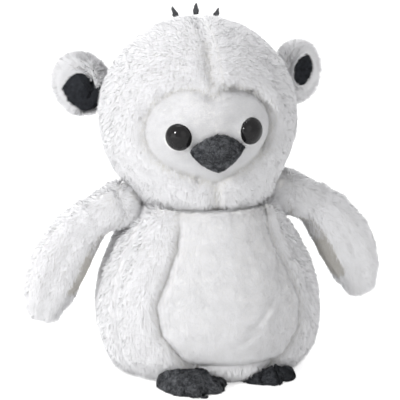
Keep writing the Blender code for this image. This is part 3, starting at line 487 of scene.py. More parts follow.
BODY_PANELS = {
    "belly_panel": SHORT, "body_side_panel_left": LONG, "body_side_panel_right": LONG,
    "body_back_panel_left": LONG, "body_back_panel_right": LONG, "base_panel": 0.5 * MM}
HEAD_PANELS = {
    "face_panel": SHORT, "hood_panel_left": LONG, "hood_panel_right": LONG, "head_back_panel": LONG}


def body_snug(points):
    return 1.0 - 0.55 * smooth_step(points[:, 2], 0.098, 0.108)


def head_snug(points):
    return 1.0 - 0.55 * (1.0 - smooth_step(points[:, 2], 0.112, 0.126))


def skin(name, body, insets, replaced, **options):
    made = Skin(name, body, insets, insets, **options)
    made.replaced = [*insets, *replaced]
    return made


skins = {}
skins["body"] = skin(
    "body_skin", "torso", BODY_PANELS, ["body_stuffing", "pellet_bag"], filling=["body_stuffing"],
    voxel=2.8 * MM, snug=body_snug)
skins["head"] = skin(
    "head_skin", "head", HEAD_PANELS, ["head_stuffing", "eye_washer_left", "eye_washer_right"],
    filling=["head_stuffing", "eye_left", "eye_right"], voxel=2.8 * MM, snug=head_snug)
for side in SIDES:
    foot, ear, wing = "foot_" + side, "ear_" + side, "wing_" + side
    skins[foot] = skin(
        foot + "_skin", "torso", {foot + "_upper": NAP, foot + "_sole": 0.2 * MM}, [foot + "_stuffing"],
        filling=[foot + "_stuffing"], voxel=1.6 * MM, swell=2.0, cap=0.8 * MM)
    skins[wing] = skin(
        wing + "_skin", wing, {wing + "_outer": 3.4 * MM, wing + "_inner": 2.6 * MM},
        [wing + "_stuffing"], filling=[wing + "_stuffing"], voxel=2.2 * MM)
    skins[ear] = skin(
        ear + "_skin", ear, {ear + "_outer": 2.0 * MM, ear + "_lining": 1.0 * MM}, [], voxel=1.4 * MM,
        swell=1.5, cap=0.7 * MM)
skins["beak"] = skin(
    "beak_skin", "head", {"beak_upper": NAP, "beak_lower": NAP}, ["beak_stuffing"],
    filling=["beak_stuffing"], voxel=1.3 * MM, swell=2.0, cap=0.8 * MM)
skins["neck"] = skin(
    "neck_filling", "neck", {"neck_stuffing": 0.2 * MM}, [], voxel=2.5 * MM, swell=1.0, cap=0.4 * MM)
for step in range(1, SWELL_FRAMES + 1):
    scene.frame_set(step)
for made in skins.values():
    made.close()
scene.frame_set(1)


# ---- seams, folds and toes -----------------------------------------------------------------

NECK_AXIS = np.array((-0.6 * MM, 4.7 * MM, 0.0))
STRIPS = ("body_side_panel_left", "body_side_panel_right")
BACKS = ("body_back_panel_left", "body_back_panel_right")
HOODS = ("hood_panel_left", "hood_panel_right")
# Each foot's middle, and how many degrees its toes turn out.
FOOT_MIDDLES = {"left": (26.0 * MM, -36.5 * MM, 6.0), "right": (-26.0 * MM, -50.5 * MM, -6.0)}
# Each fold's middle across and up, length, turn in degrees and depth, in millimetres.
BELLY_FOLDS = (
    (22.0, 45.0, 11.0, 40.0, 0.55), (27.0, 51.0, 8.0, 35.0, 0.4), (13.0, 33.0, 12.0, 62.0, 0.6))


def crease_belly(made):
    """The soft diagonal folds low on the belly."""
    mesh = made.piece.data
    points, normals = points_of(mesh), normals_of(mesh)
    reach = made.reaches()
    on_belly = (reach[:, 0] <= reach.min(axis=1)).astype(float)
    for x, z, length, turn, depth in BELLY_FOLDS:
        along = np.array((math.sin(math.radians(turn)), 0.0, math.cos(math.radians(turn))))
        off = points - np.array((x * MM, 0.0, z * MM))
        run = off @ along
        across = off[:, 0] * along[2] - off[:, 2] * along[0] + 0.01 * run * run / MM
        lip = 0.6 * hump(across - 3.4 * MM, 2.2 * MM)
        dip = hump(run, length * MM) * (hump(across, 1.9 * MM) - lip)
        points = points - normals * (dip * depth * MM * on_belly * (points[:, 1] < 0))[:, None]
    move_points(mesh, points)


def gather_hem(made):
    """Draws the belly's lower seam in above the hem."""
    points, normals = points_of(made.piece.data), normals_of(made.piece.data)
    reach = made.reaches()
    above = points[:, 2] - 13.0 * MM
    share = np.where(above > 0, hump(above, 3.6 * MM), hump(above, 1.8 * MM))
    share = share * (reach[:, 0] <= reach.min(axis=1)) * (points[:, 1] < 0)
    move_points(made.piece.data, points - normals * (share * 3.2 * MM)[:, None])


def round_rim(made):
    """Turns the body's upper edge in under the head, at its sides and back."""
    points = points_of(made.piece.data)
    share = smooth_step(points[:, 2], 0.094, 0.113) * smooth_step(points[:, 1], -24 * MM, 0.0)
    off = points - NECK_AXIS
    points[:, :2] -= off[:, :2] * (0.15 * share)[:, None]
    points[:, 2] -= 2.5 * MM * share
    move_points(made.piece.data, points)


def round_foot(points, side):
    """Each point's offset from the foot's middle, its length, and its turn from the middle toe."""
    x, y, out = FOOT_MIDDLES[side]
    off_x, off_y = points[:, 0] - x, points[:, 1] - y
    turn = np.arctan2(off_x, -off_y) - math.radians(out)
    return off_x, off_y, np.hypot(off_x, off_y), np.abs(turn)


def part_toes(made, side):
    """Slims a foot's side toes, and draws in the two grooves between its three toes."""
    mesh = made.piece.data
    points = points_of(mesh)
    off_x, off_y, reach, turn = round_foot(points, side)
    beside = smooth_step(turn, math.radians(12.0), math.radians(46.0))
    beside = beside * (1.0 - smooth_step(turn, math.radians(85.0), math.radians(125.0)))
    beside = beside * smooth_step(reach, 8 * MM, 20 * MM)
    pull = 4.5 * MM * beside / np.maximum(reach, MM)
    points[:, 0] -= pull * off_x
    points[:, 1] -= pull * off_y
    points[:, 2] *= 1.0 - 0.26 * beside
    move_points(mesh, points)
    points, normals = points_of(mesh), normals_of(mesh)
    _, _, reach, turn = round_foot(points, side)
    across = reach * np.sin(turn - math.radians(22.0))
    front = smooth_step(reach, 7 * MM, 17 * MM) * (turn < math.radians(75)) * (normals[:, 2] > -0.6)
    groove = 3.0 * hump(across, 1.9 * MM) - 0.7 * hump(np.abs(across) - 5.2 * MM, 2.6 * MM)
    move_points(mesh, points - normals * (front * groove * MM)[:, None])


def deep_side(points):
    """The face's seam is deepest over the lobe and cheek on the owl's own left."""
    over = smooth_step(points[:, 0], -6 * MM, 10 * MM) * smooth_step(points[:, 2], 0.142, 0.16)
    return 0.22 + 0.78 * over


def below_neck(points):
    return 1.0 - smooth_step(points[:, 2], 0.098, 0.11)


skins["body"].sink(("belly_panel",), STRIPS, 4.4 * MM, 3.4 * MM, 1.6 * MM, below_neck)
skins["body"].sink(BACKS, STRIPS, 1.6 * MM, 3.0 * MM, 2.0 * MM, below_neck)
skins["body"].sink(BACKS[:1], BACKS[1:], 1.2 * MM, 2.5 * MM, 2.5 * MM)
skins["head"].sink(("face_panel",), HOODS, 6.0 * MM, 4.6 * MM, 1.6 * MM, deep_side)
skins["head"].sink(HOODS[:1], HOODS[1:], 0.6 * MM, 2.2 * MM, 2.2 * MM)
skins["head"].sink(("head_back_panel",), HOODS, 0.8 * MM, 2.5 * MM, 2.5 * MM)
round_rim(skins["body"])
gather_hem(skins["body"])
crease_belly(skins["body"])
for side in SIDES:
    part_toes(skins["foot_" + side], side)
for made in skins.values():
    points = points_of(made.piece.data)
    points[:, 2] = np.maximum(points[:, 2], FLOOR_GAP)
    move_points(made.piece.data, points)
for made in skins.values():
    made.read()

# The creamy pile starts on the wing's underside only, where it faces the body, so its panel is read as further off
# above: the cream is the real inner side, and its deeper tone there is painted shade.
for side in SIDES:
    wing = skins["wing_" + side]
    inward = -np.sign(wing.points[:, 0]) * wing.normals[:, 0]
    cream_and_shade = smooth_step(inward, 0.25, 0.6) * smooth_step(wing.points[:, 2], 0.05, 0.07)
    wing.reach[:, 1] += 14 * MM * (1.0 - cream_and_shade)


# ---- pile ----------------------------------------------------------------------------------

HEM_LEVEL = 12.5 * MM
PRESSED_FLAT = 0.2 * MM


def warm_neck(root, off):
    """The neck's filling is creamy."""
    return np.full(len(root), 0.7)


def hem(points, normals):
    """The belly's lowest band, where the strips' long pile runs on under its seam."""
    return points[:, 2] < HEM_LEVEL + 1.5 * MM * waves(points, 14 * MM, 91)


def on_left(points, normals):
    return points[:, 0] > HEAD_MIDDLE


def on_right(points, normals):
    return points[:, 0] <= HEAD_MIDDLE


def above_hem(points, normals):
    return ~hem(points, normals)


def head_skirt(points):
    """The hood's lower edge hangs over the neck."""
    return 0.85 * (1.0 - smooth_step(points[:, 2], 0.108, 0.134)), -UP + 0.35 * from_middle(points)


def body_skirt(points):
    """The pile hangs over the feet below, and stands up round the neck above."""
    foot = 0.7 * (1.0 - smooth_step(points[:, 2], 0.004, 0.02))
    rim = 0.7 * smooth_step(points[:, 2], 0.104, 0.111) * smooth_step(points[:, 1], -30 * MM, -12 * MM)
    return foot + rim, np.where(points[:, 2:] > 0.06, 0.5 * UP + 0.6 * from_middle(points), -UP)


def from_middle(points):
    """The way out from the body's upright axis."""
    out = points - NECK_AXIS
    out[:, 2] = 0.0
    return unit(out)


def neck_rim(points, normals):
    return np.hypot(points[:, 0], points[:, 1] - 4.7 * MM) > 24 * MM


def comb_neck(points, normals):
    return from_middle(points) + 0.9 * UP


def ear_middle(points):
    """The middle of the cup of whichever ear a point is on."""
    return np.where(
        points[:, :1] < 0, np.array((-0.071, 0.052, 0.185)), np.array((0.0715, 0.03, 0.191)))


def lined(points, normals):
    """The part of an ear's cup that its dark lining shows, below the fur that hangs over it."""
    left = points[:, 0] > 0
    x = (points[:, 0] - 0.285 * (points[:, 1] - np.where(left, 22 * MM, 40 * MM))) / MM
    z = points[:, 2] / MM
    fan = z < 192.5 - (x + 75.2) ** 2 / np.where(x < -75.2, 14.5, 31.0)
    fan = fan & (z > 177.0 - 0.586 * (x + 89.5))
    over = 0.79 * (points[:, 0] / MM - 61.7) + 0.61 * (points[:, 1] / MM - 18.0)
    over = over - 19.5 - 0.25 * (z - 192.0)
    slip = (over / 9.5) ** 2 + ((z - 192.0) / 10.5) ** 2 < 1.0
    within = ((ear_middle(points) - points) * normals).sum(axis=1) > -0.002
    root = (x > -84.0) & (z < 186.0) & (normals @ np.array((-0.27, -0.96, 0.0)) > -0.1)
    return np.where(left, slip, fan & (within | root)) & (within | ~left)


def furred(points, normals):
    return ~lined(points, normals)


def room_above(made):
    """How far each point of a skin is free along its normal before another body's skin."""
    own = (made.body, getattr(made, "wing", None))
    close = [other for other in skins.values() if other.body not in own]
    firsts = np.cumsum([0] + [len(other.points) for other in close])
    corners = np.concatenate([other.corners + first for other, first in zip(close, firsts)])
    points = np.concatenate([other.points for other in close])
    tree = BVHTree.FromPolygons(points.tolist(), corners.tolist())
    free = np.full(len(made.points), FREE_REACH)
    for index, (point, normal) in enumerate(zip(made.points, made.normals)):
        start = Vector(point - normal * RAY_START)
        hit = tree.ray_cast(start, Vector(normal), FREE_REACH + RAY_START)[3]
        if hit is not None:
            free[index] = max(hit - RAY_START, 0.0)
    return free


class Pile:
    """How one sort of pile grows: strands a square millimetre, length, width, lean in radians, how
    far it locks into tufts, how far strands stray, bend and curl, and how wide its mottle is."""

    def __init__(
            self, finish, slot, thick, length, width, lean, lock, stray=0.25, bend=0.35, segments=2,
            curl=0.0, mottle=5.0 * MM):
        self.mottle = mottle
        self.finish, self.slot, self.thick, self.length, self.width = finish, slot, thick, length, width
        self.lean, self.lock, self.stray, self.bend = lean, lock, stray, bend
        self.segments, self.curl = segments, curl


LONG_PILE = Pile(LONG_WHITE, "long_fur", 5.2, 5.8 * MM, 0.3 * MM, 0.7, 0.17, stray=0.5)
BACK_PILE = Pile(LONG_WHITE, "long_fur", 3.2, 6.4 * MM, 0.38 * MM, 0.72, 0.17, stray=0.5)
HEAD_BACK_PILE = Pile(HOOD_WHITE, "long_fur", 3.2, 6.4 * MM, 0.38 * MM, 0.72, 0.17, stray=0.5)
HOOD_PILE = Pile(HOOD_WHITE, "long_fur", 4.8, 5.2 * MM, 0.31 * MM, 0.72, 0.17, stray=0.5)
WING_PILE = Pile(LONG_WHITE, "long_fur", 4.4, 5.8 * MM, 0.33 * MM, 0.66, 0.17, stray=0.5)
# The owl's right ear wears the darker copy of the white pile and its left ear the plain one: painted shade on one
# ear.
EAR_WHITES = {"left": LONG_WHITE, "right": DIMMED_EAR_WHITE}
EAR_PILES = {
    side: Pile(white, "long_fur", 7.2, 8.2 * MM, 0.33 * MM, 0.5, 0.15, stray=0.5)
    for side, white in EAR_WHITES.items()}
CUP_PILES = {
    side: Pile(white, "long_fur", 8.0, 5.0 * MM, 0.32 * MM, 0.7, 0.15, stray=0.5)
    for side, white in EAR_WHITES.items()}
BELLY_PILE = Pile(SHORT_WHITE, "short_fur", 9.0, 2.8 * MM, 0.32 * MM, 0.8, 0.2, segments=1)
FACE_PILE = Pile(FACE_WHITE, "short_fur", 10.0, 2.8 * MM, 0.3 * MM, 0.75, 0.2, segments=1)
NECK_PILE = Pile(LONG_WHITE, "stuffing", 2.2, 10.0 * MM, 0.38 * MM, 0.9, 0.2, stray=0.3)
INNER_PILE = Pile(CREAM_AND_SHADE_WHITE, "short_fur", 9.0, 3.6 * MM, 0.32 * MM, 0.8, 0.25, segments=1)
CURL_PILE = Pile(
    DARK_CURL, "minky", 10.0, 3.1 * MM, 0.28 * MM, 0.95, 1.3, stray=0.18, segments=2, curl=1.1,
    mottle=1.5 * MM)
# The owl's left foot wears the darker copy of the curl: painted shade.
FOOT_PILES = {
    side: Pile(dark, "minky", 10.0, 2.6 * MM, 0.28 * MM, 0.95, 1.3, stray=0.18, segments=2, curl=1.1, mottle=1.5 * MM)
    for side, dark in (("left", SHADED_CURL), ("right", DARK_CURL))}
FUZZ = Pile(DARK_CURL, "felt", 12.0, 1.5 * MM, 0.2 * MM, 1.1, 0.3, stray=0.45, segments=1)
LINING_PILE = Pile(
    BLACK_NAP, "minky", 13.0, 2.2 * MM, 0.25 * MM, 0.7, 0.6, stray=0.4, segments=1, mottle=2.4 * MM)


def comb_body(points, normals):
    """Down the body, with the strips' inner edges turned a little over the belly's seam."""
    inward = np.zeros_like(points)
    inward[:, 0] = -np.sign(points[:, 0] - 4.0 * MM) * smooth_step(-points[:, 1], 0.0, 30 * MM)
    return -UP + 0.35 * inward


def comb_head(points, normals):
    """From the crown's seam out to the sides, back and down."""
    centre = np.array((-2.0 * MM, 0.0, 0.17))
    off = points - centre
    aside = np.zeros_like(points)
    aside[:, 0] = np.sign(off[:, 0]) * np.exp(-np.abs(off[:, 0]) / (30 * MM))
    back = np.zeros_like(points)
    back[:, 1] = smooth_step(points[:, 2], 0.19, 0.235) * 0.5
    return -0.8 * UP + aside * 0.7 + back


def comb_face(points, normals):
    """Out from between the eyes and beak, and down."""
    off = points - np.array((-7.5 * MM, 0.0, 0.166))
    off[:, 1] = 0.0
    return unit(off) * 0.8 - 0.6 * UP


def comb_wing(points, normals):
    out = np.zeros_like(points)
    out[:, 0] = np.sign(points[:, 0]) * 0.5
    return out - UP


def comb_ear(points, normals):
    """Out over the rim, away from the cup's middle."""
    out = np.zeros_like(points)
    out[:, 0] = np.sign(points[:, 0])
    return unit(points - ear_middle(points)) * 1.6 + 0.3 * out


EYE_SHARE = 0.94


def eye_shape(side):
    """Where the CAD's eye sits: its rim's middle, the way it looks, its radius and its height."""
    low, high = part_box("eye_" + side)
    washer_low, washer_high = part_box("eye_washer_" + side)
    points = points_of(frame["nodes"]["eye_" + side].data)
    axis = np.array((low + high) / 2 - (washer_low + washer_high) / 2)
    for _ in range(3):
        axis = unit(axis)
        back = points @ axis
        front = points[back > back.max() - 0.4 * MM].mean(axis=0)
        axis = unit(front - points[back < back.min() + 0.4 * MM].mean(axis=0))
    line = points[points @ axis < (points @ axis).min() + 0.4 * MM].mean(axis=0)
    across = np.linalg.norm(np.cross(points - line, axis), axis=1)
    radius = across.max()
    rim_level = (points[across > radius - 0.3 * MM] @ axis).mean()
    return line + axis * (rim_level - line @ axis), axis, radius, (points @ axis).max() - rim_level


def clear_of_eyes(points, normals):
    """The face's pile stops where the eyes press it flat."""
    clear = np.ones(len(points), bool)
    for side in SIDES:
        centre, axis, radius, _ = eye_shape(side)
        off = points - centre
        aside = np.linalg.norm(np.cross(off, axis), axis=1)
        clear &= (aside > radius * EYE_SHARE + 0.1 * MM) | (np.abs(off @ axis) > 15 * MM)
    return clear


def comb_curl(points, normals):
    return wave_vectors(points, 3.2 * MM, 71) + np.array((0.0, 0.0, -0.25))


def comb_foot(points, normals):
    return wave_vectors(points, 3.2 * MM, 72) + np.array((0.0, -0.6, -0.2))


def seam_painted_shade(root, off):
    """Strands near a seam on the front take the warm, deeper tones: painted shade in the seam's groove."""
    return 0.5 * hump(off, 2.4 * MM) * (root[:, 1] < -24 * MM)


def cream_and_shade_under(root, off):
    """Most of the wing's shorter pile takes the warm tones: its real cream, deepened as painted shade under the wing.
    """
    return np.full(len(root), 0.62)


def grow(name, made, panel, pile, comb, seed, warm=seam_painted_shade, where=None, hang=None):
    """Grows one panel's pile on a finished skin."""
    chance = np.random.default_rng(seed)
    index = made.panels.index(panel)
    off = np.full(len(made.points), -1.0)
    if len(made.panels) > 1:
        off = made.reach[:, index] - np.delete(made.reach, index, axis=1).min(axis=1)
    weight = made.areas * (off[made.corners].min(axis=1) < 1.0 * MM)
    count = int(weight.sum() / MM ** 2 * pile.thick)
    picked = chance.choice(len(weight), count, p=weight / weight.sum())
    first, second = chance.random(count), chance.random(count)
    flip = first + second > 1.0
    first[flip], second[flip] = 1.0 - first[flip], 1.0 - second[flip]
    mix = np.stack((1.0 - first - second, first, second), axis=1)[:, :, None]
    corners = made.corners[picked]
    off = (off[corners][:, :, None] * mix).sum(axis=1)[:, 0]
    free = (made.free[corners][:, :, None] * mix).sum(axis=1)[:, 0]
    keep = (off < chance.uniform(-0.5, 0.5, count) * MM) & (free > 0.15 * MM)
    if where is not None:
        spot = (made.points[corners] * mix).sum(axis=1)
        facing = (made.normals[corners] * mix).sum(axis=1)
        keep &= where(spot + chance.normal(size=(count, 3)) * 0.35 * MM, facing)
    corners, mix, free, off = corners[keep], mix[keep], free[keep], off[keep]
    count = len(corners)
    root = (made.points[corners] * mix).sum(axis=1)
    normal = unit((made.normals[corners] * mix).sum(axis=1))
    flow = comb(root, normal)
    flow = flow + pile.lock * wave_vectors(root, 2.6 * MM, seed)
    flow = flow + 0.6 * pile.lock * wave_vectors(root, 9.0 * MM, seed + 7)
    flow = flow + pile.stray * chance.normal(size=(count, 3))
    flow = unit(flow - normal * (flow * normal).sum(axis=1, keepdims=True))
    lean = pile.lean + 0.13 * waves(root, 4.0 * MM, seed + 3) + 0.12 * chance.normal(size=count)
    lean = np.clip(lean, 0.15, 1.42)
    length = pile.length * (0.85 + 0.13 * waves(root, 6.0 * MM, seed + 5))
    length = length * chance.uniform(0.72, 1.12, count)
    length = np.minimum(length, 0.45 * pile.length + 1.1 * free)
    rise = np.cos(lean)[:, None] * normal + np.sin(lean)[:, None] * flow
    later = np.clip(lean + pile.bend, 0.2, 1.5)
    fall = np.cos(later)[:, None] * normal + np.sin(later)[:, None] * flow
    if hang is not None:
        weight, way = hang(root)
        weight = weight[:, None]
        length = length * (1.0 + 0.45 * weight[:, 0])
        plumb = unit(0.35 * normal + way + 0.2 * chance.normal(size=(count, 3)))
        rise = unit(rise * (1.0 - weight) + plumb * weight)
        fall = unit(fall * (1.0 - weight) + plumb * weight)
    if pile.curl:
        turn = np.sign(waves(root, 5.0 * MM, seed + 9))[:, None]
        fall = unit(fall + pile.curl * unit(np.cross(normal, flow)) * turn)
    across = unit(np.cross(rise, normal) + 0.45 * normal * chance.normal(size=(count, 1)))
    wide = 0.5 * pile.width * chance.uniform(0.75, 1.2, count)[:, None]
    root = root - normal * 0.25 * MM
    length = length[:, None]
    if pile.segments == 2:
        middle = root + rise * length * 0.5
        tip = middle + fall * length * 0.5
        rows = np.stack(
            (root - across * wide, root + across * wide, middle - across * wide * 0.85, middle + across * wide * 0.85, tip),
            axis=1)
        heights = (0.02, 0.02, 0.55, 0.55, 0.98)
        sides = (0.08, 0.92, 0.14, 0.86, 0.5)
        faces = [(0, 1, 3), (0, 3, 2), (2, 3, 4)]
    else:
        tip = root + unit(rise + 0.4 * fall) * length
        rows = np.stack((root - across * wide, root + across * wide, tip), axis=1)
        heights = (0.02, 0.02, 0.98)
        sides = (0.08, 0.92, 0.5)
        faces = [(0, 1, 2)]
    rows[:, :, 2] = np.maximum(rows[:, :, 2], PRESSED_FLAT)
    per = rows.shape[1]
    facing = np.cross(rows[:, 1] - rows[:, 0], rows[:, -1] - rows[:, 0])
    wrong = (facing * normal).sum(axis=1) < 0
    rows[wrong] = rows[wrong][:, [1, 0, 3, 2, 4] if per == 5 else [1, 0, 2]]
    tone = 0.5 + 0.4 * waves(root, pile.mottle, seed + 11)
    tone = tone + 0.3 * waves(root, pile.mottle * 0.45, seed + 12) + chance.uniform(-0.3, 0.3, count)
    across_map = np.clip(tone, 0.0, 1.0) * (WARM_FROM - 0.02)
    # Warm strands take the warm to deep tones; along seams these are painted shade.
    if warm is not None:
        depth = warm(root, off)
        is_warm = chance.random(count) < depth
        shade = np.clip(depth + chance.uniform(-0.3, 0.3, count), 0.0, 1.0)
        across_map = np.where(is_warm, WARM_FROM + 0.01 + 0.23 * shade, across_map)
    columns = np.minimum(np.floor(across_map * TONE_COLUMNS), TONE_COLUMNS - 1)
    triangles = (np.arange(count)[:, None, None] * per + np.array(faces)[None]).reshape(-1, 3)
    mesh = bpy.data.meshes.new(name)
    mesh.vertices.add(count * per)
    mesh.vertices.foreach_set("co", rows.astype(np.float32).ravel())
    mesh.loops.add(len(triangles) * 3)
    mesh.loops.foreach_set("vertex_index", triangles.astype(np.int32).ravel())
    mesh.polygons.add(len(triangles))
    mesh.polygons.foreach_set("loop_start", np.arange(0, len(triangles) * 3, 3, dtype=np.int32))
    mesh.update(calc_edges=True)
    u = (columns[:, None] + np.array(sides)[None]) / TONE_COLUMNS
    spots = np.stack((u, np.broadcast_to(np.array(heights)[None], (count, per))), axis=2)
    spots = spots.reshape(-1, 2)[triangles.ravel()].astype(np.float32)
    mesh.uv_layers.new(name="OFBake").data.foreach_set("uv", spots.ravel())
    mesh.polygons.foreach_set("use_smooth", np.ones(len(triangles), bool))
    facing = np.where(wrong[:, None], -facing, facing)
    soft = unit(normal * 0.9 + unit(facing) * 0.2)
    mesh.normals_split_custom_set_from_vertices(np.repeat(soft, per, axis=0))
    mesh.materials.append(pile.finish)
    piece = bpy.data.objects.new(name, mesh)
    scene.collection.objects.link(piece)
    made.attach(piece)


for made in skins.values():
    made.free = room_above(made)
for key in ("body", "head"):
    made = skins[key]
    rim = smooth_step(made.points[:, 2], 0.094, 0.1) * (1.0 - smooth_step(made.points[:, 2], 0.13, 0.14))
    made.free = np.maximum(made.free, 2.6 * MM * rim)

grow(
    "belly_pile", skins["body"], "belly_panel", BELLY_PILE, comb_body, 11, where=above_hem,
    hang=body_skirt)
grow("hem_pile", skins["body"], "belly_panel", LONG_PILE, comb_body, 10, where=hem, hang=body_skirt)
for number, panel in enumerate(STRIPS):
    name = "strip_pile_" + SIDES[number]
    grow(name, skins["body"], panel, LONG_PILE, comb_body, 12 + number, hang=body_skirt)
for number, panel in enumerate(BACKS):
    name = "body_back_pile_" + SIDES[number]
    grow(name, skins["body"], panel, BACK_PILE, comb_body, 14 + number, None, hang=body_skirt)
grow("face_pile", skins["head"], "face_panel", FACE_PILE, comb_face, 16, where=clear_of_eyes)
for number, panel in enumerate(HOODS):
    name = "hood_pile_" + SIDES[number]
    grow(name, skins["head"], panel, HOOD_PILE, comb_head, 17 + number, hang=head_skirt)
grow(
    "head_back_pile_left", skins["head"], "head_back_panel", HEAD_BACK_PILE, comb_head, 19, None,
    hang=head_skirt, where=on_left)
grow(
    "head_back_pile_right", skins["head"], "head_back_panel", HEAD_BACK_PILE, comb_head, 8, None,
    hang=head_skirt, where=on_right)
grow(
    "ear_right_rim_nap", skins["ear_right"], "ear_right_outer", LINING_PILE, comb_ear, 39, None,
    where=lined)
skins["neck"].free[:] = FREE_REACH
grow("neck_pile", skins["neck"], "neck_stuffing", NECK_PILE, comb_neck, 9, warm_neck, where=neck_rim)
grow("beak_curls_upper", skins["beak"], "beak_upper", CURL_PILE, comb_curl, 20)
grow("beak_curls_lower", skins["beak"], "beak_lower", CURL_PILE, comb_curl, 21)
for number, side in enumerate(SIDES):
    foot, ear, wing = "foot_" + side, "ear_" + side, "wing_" + side
    grow(wing + "_pile", skins[wing], wing + "_outer", WING_PILE, comb_wing, 30 + number)
    grow(
        wing + "_inner_pile", skins[wing], wing + "_inner", INNER_PILE, comb_wing, 32 + number,
        cream_and_shade_under)
    grow(foot + "_curls", skins[foot], foot + "_upper", FOOT_PILES[side], comb_foot, 34 + number)
    grow(
        ear + "_pile", skins[ear], ear + "_outer", EAR_PILES[side], comb_ear, 36 + number, None,
        where=furred)
    grow(
        ear + "_inner_pile", skins[ear], ear + "_lining", CUP_PILES[side], comb_ear, 40 + number, None,
        where=furred)
    grow(
        ear + "_lining_nap", skins[ear], ear + "_lining", LINING_PILE, comb_ear, 42 + number, None,
        where=lined)


class Gusset(Form):
    """The padded root of a wing, between the body and the wing."""

    def __init__(self, side):
        self.side = 1.0 if side == "left" else -1.0
        joint = next(joint for joint in frame["joints"] if joint["name"] == "wing_%s_lift" % side)
        self.middle = np.array(joint["pos_m"])
        inward = np.array((-self.side * 7.0, 1.5, 1.0)) * MM
        lobes = [(self.middle + inward, np.diag((14.0, 12.5, 14.5)) * MM)]
        wing = skins["wing_" + side].points
        for far in (6.0, 12.0, 18.0):
            away = np.linalg.norm(wing - self.middle, axis=1)
            ring = wing[np.abs(away - 14.0 * MM - far * MM) < 2.5 * MM]
            spot = ring.mean(axis=0)
            turn = np.linalg.svd(ring - spot, full_matrices=False)[2]
            reach = np.percentile(np.abs((ring - spot) @ turn.T), 97, axis=0)
            reach[2] = max(reach[2], 7.0 * MM)
            lobes.append((spot, (turn.T * reach) @ turn))
        parts = []
        for spot, stretch in lobes:
            bpy.ops.object.select_all(action="DESELECT")
            bpy.ops.mesh.primitive_ico_sphere_add(subdivisions=4, radius=1.0)
            part = bpy.context.active_object
            move_points(part.data, points_of(part.data) @ stretch + spot)
            parts.append(part)
        alone(parts[0])
        for part in parts:
            part.select_set(True)
        bpy.ops.object.join()
        piece = parts[0]
        piece.name = "wing_%s_gusset" % side
        finish_with(piece, "REMESH", mode="VOXEL", voxel_size=1.7 * MM, use_smooth_shade=True)
        finish_with(piece, "SMOOTH", factor=0.5, iterations=12)
        super().__init__(piece, "torso", ["gusset"])
        self.wing = "wing_" + side
        self.read()
        self.free = room_above(self)
        self.free[self.buried()] = 0.0
        piece.data.materials.append(WHITE_BACKING)
        self.attach(piece)

    def attach(self, piece):
        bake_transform(piece)

    def buried(self):
        """Which points lie inside the body's or the wing's skin."""
        found = np.zeros(len(self.points), bool)
        for other in (skins["body"], skins[self.wing]):
            tree = BVHTree.FromPolygons(other.points.tolist(), other.corners.tolist())
            for index, point in enumerate(self.points):
                spot, facing, _, off = tree.find_nearest(Vector(point))
                found[index] |= off > 1.5 * MM and (Vector(point) - spot).dot(facing) < 0
        return found


def comb_gusset(points, normals):
    """Down, and away from the middle of the shoulder."""
    out = np.zeros_like(points)
    side = np.sign(points[:, 0])
    out[:, 0] = side * (2.0 * smooth_step(points[:, 0] * side, 52 * MM, 66 * MM) - 1.0)
    return out - 0.7 * UP


for number, side in enumerate(SIDES):
    grow("wing_%s_root_pile" % side, Gusset(side), "gusset", WING_PILE, comb_gusset, 44 + number, None)


DARK = ("foot", "beak")
for key, made in skins.items():
    dark = key.startswith(DARK)
    made.piece.data.materials.append(DARK_BACKING if dark else WHITE_BACKING)
    if key.startswith("ear"):
        made.piece.data.materials.append(DARK_BACKING)
        middles = np.array([p.center for p in made.piece.data.polygons])
        facing = np.array([p.normal for p in made.piece.data.polygons])
        made.piece.data.polygons.foreach_set("material_index", lined(middles, facing).astype(np.int32))
    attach(made.piece, made.body)
    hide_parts(*made.replaced)
    "minky" if dark else "stuffing" if key == "neck" else "long_fur"


# ---- eyes and felts ------------------------------------------------------------------------

def make_eye(side):
    """A turned dome with a rolled rim, pressed into the face."""
    centre, axis, radius, height = eye_shape(side)
    bpy.ops.object.select_all(action="DESELECT")
    bpy.ops.mesh.primitive_uv_sphere_add(
        segments=64, ring_count=48, radius=radius * EYE_SHARE, location=(0, 0, 0))
    eye = bpy.context.active_object
    eye.name = "eye_dome_" + side
    shape = points_of(eye.data)
    level = shape[:, 2] / radius
    shape[:, 2] = np.where(level > 0, height * level, 1.3 * MM * level)
    turn = Vector((0, 0, 1)).rotation_difference(Vector(axis)).to_matrix()
    move_points(eye.data, shape @ np.array(turn).T + centre - axis * 0.4 * MM)
    alone(eye)
    bpy.ops.object.shade_smooth()
    eye.data.materials.append(BLACK_PLASTIC)
    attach(eye, "head")
    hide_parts("eye_" + side)


def make_felt(place, tall, tilt):
    """One felt of the crest with its fuzz."""
    node = "crest_felt_" + place
    felt = skin("felt_" + place, "head", {node: 0.1 * MM}, [], voxel=0.45 * MM, levels=0)
    felt.close()
    points = points_of(felt.piece.data)
    foot = points[:, 2].min()
    middle = (points[:, 0].min() + points[:, 0].max()) / 2
    up = (points[:, 2] - foot) / (points[:, 2].max() - foot)
    ragged = 1.0 + 0.25 * waves(points, 1.5 * MM, 61)
    narrowed = (points[:, 0] - middle) * (0.72 - 0.4 * up)
    points[:, 0] = middle + narrowed * ragged + tilt * up * up
    points[:, 2] = foot + (points[:, 2] - foot) * tall
    move_points(felt.piece.data, points)
    felt.read()
    felt.free = np.full(len(felt.points), FREE_REACH)
    felt.piece.data.materials.append(FELT)
    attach(felt.piece, "head")
    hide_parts(node)
    grow(
        "felt_fuzz_" + place, felt, node, FUZZ, lambda points,
        normals: UP + wave_vectors(points, 2 * MM, 5), 50 + len(place))


make_eye("left")
make_eye("right")
make_felt("right", 0.8, -1.6 * MM)
make_felt("middle", 0.88, 0.6 * MM)
make_felt("left", 0.62, 2.2 * MM)


# ---- studio --------------------------------------------------------------------------------

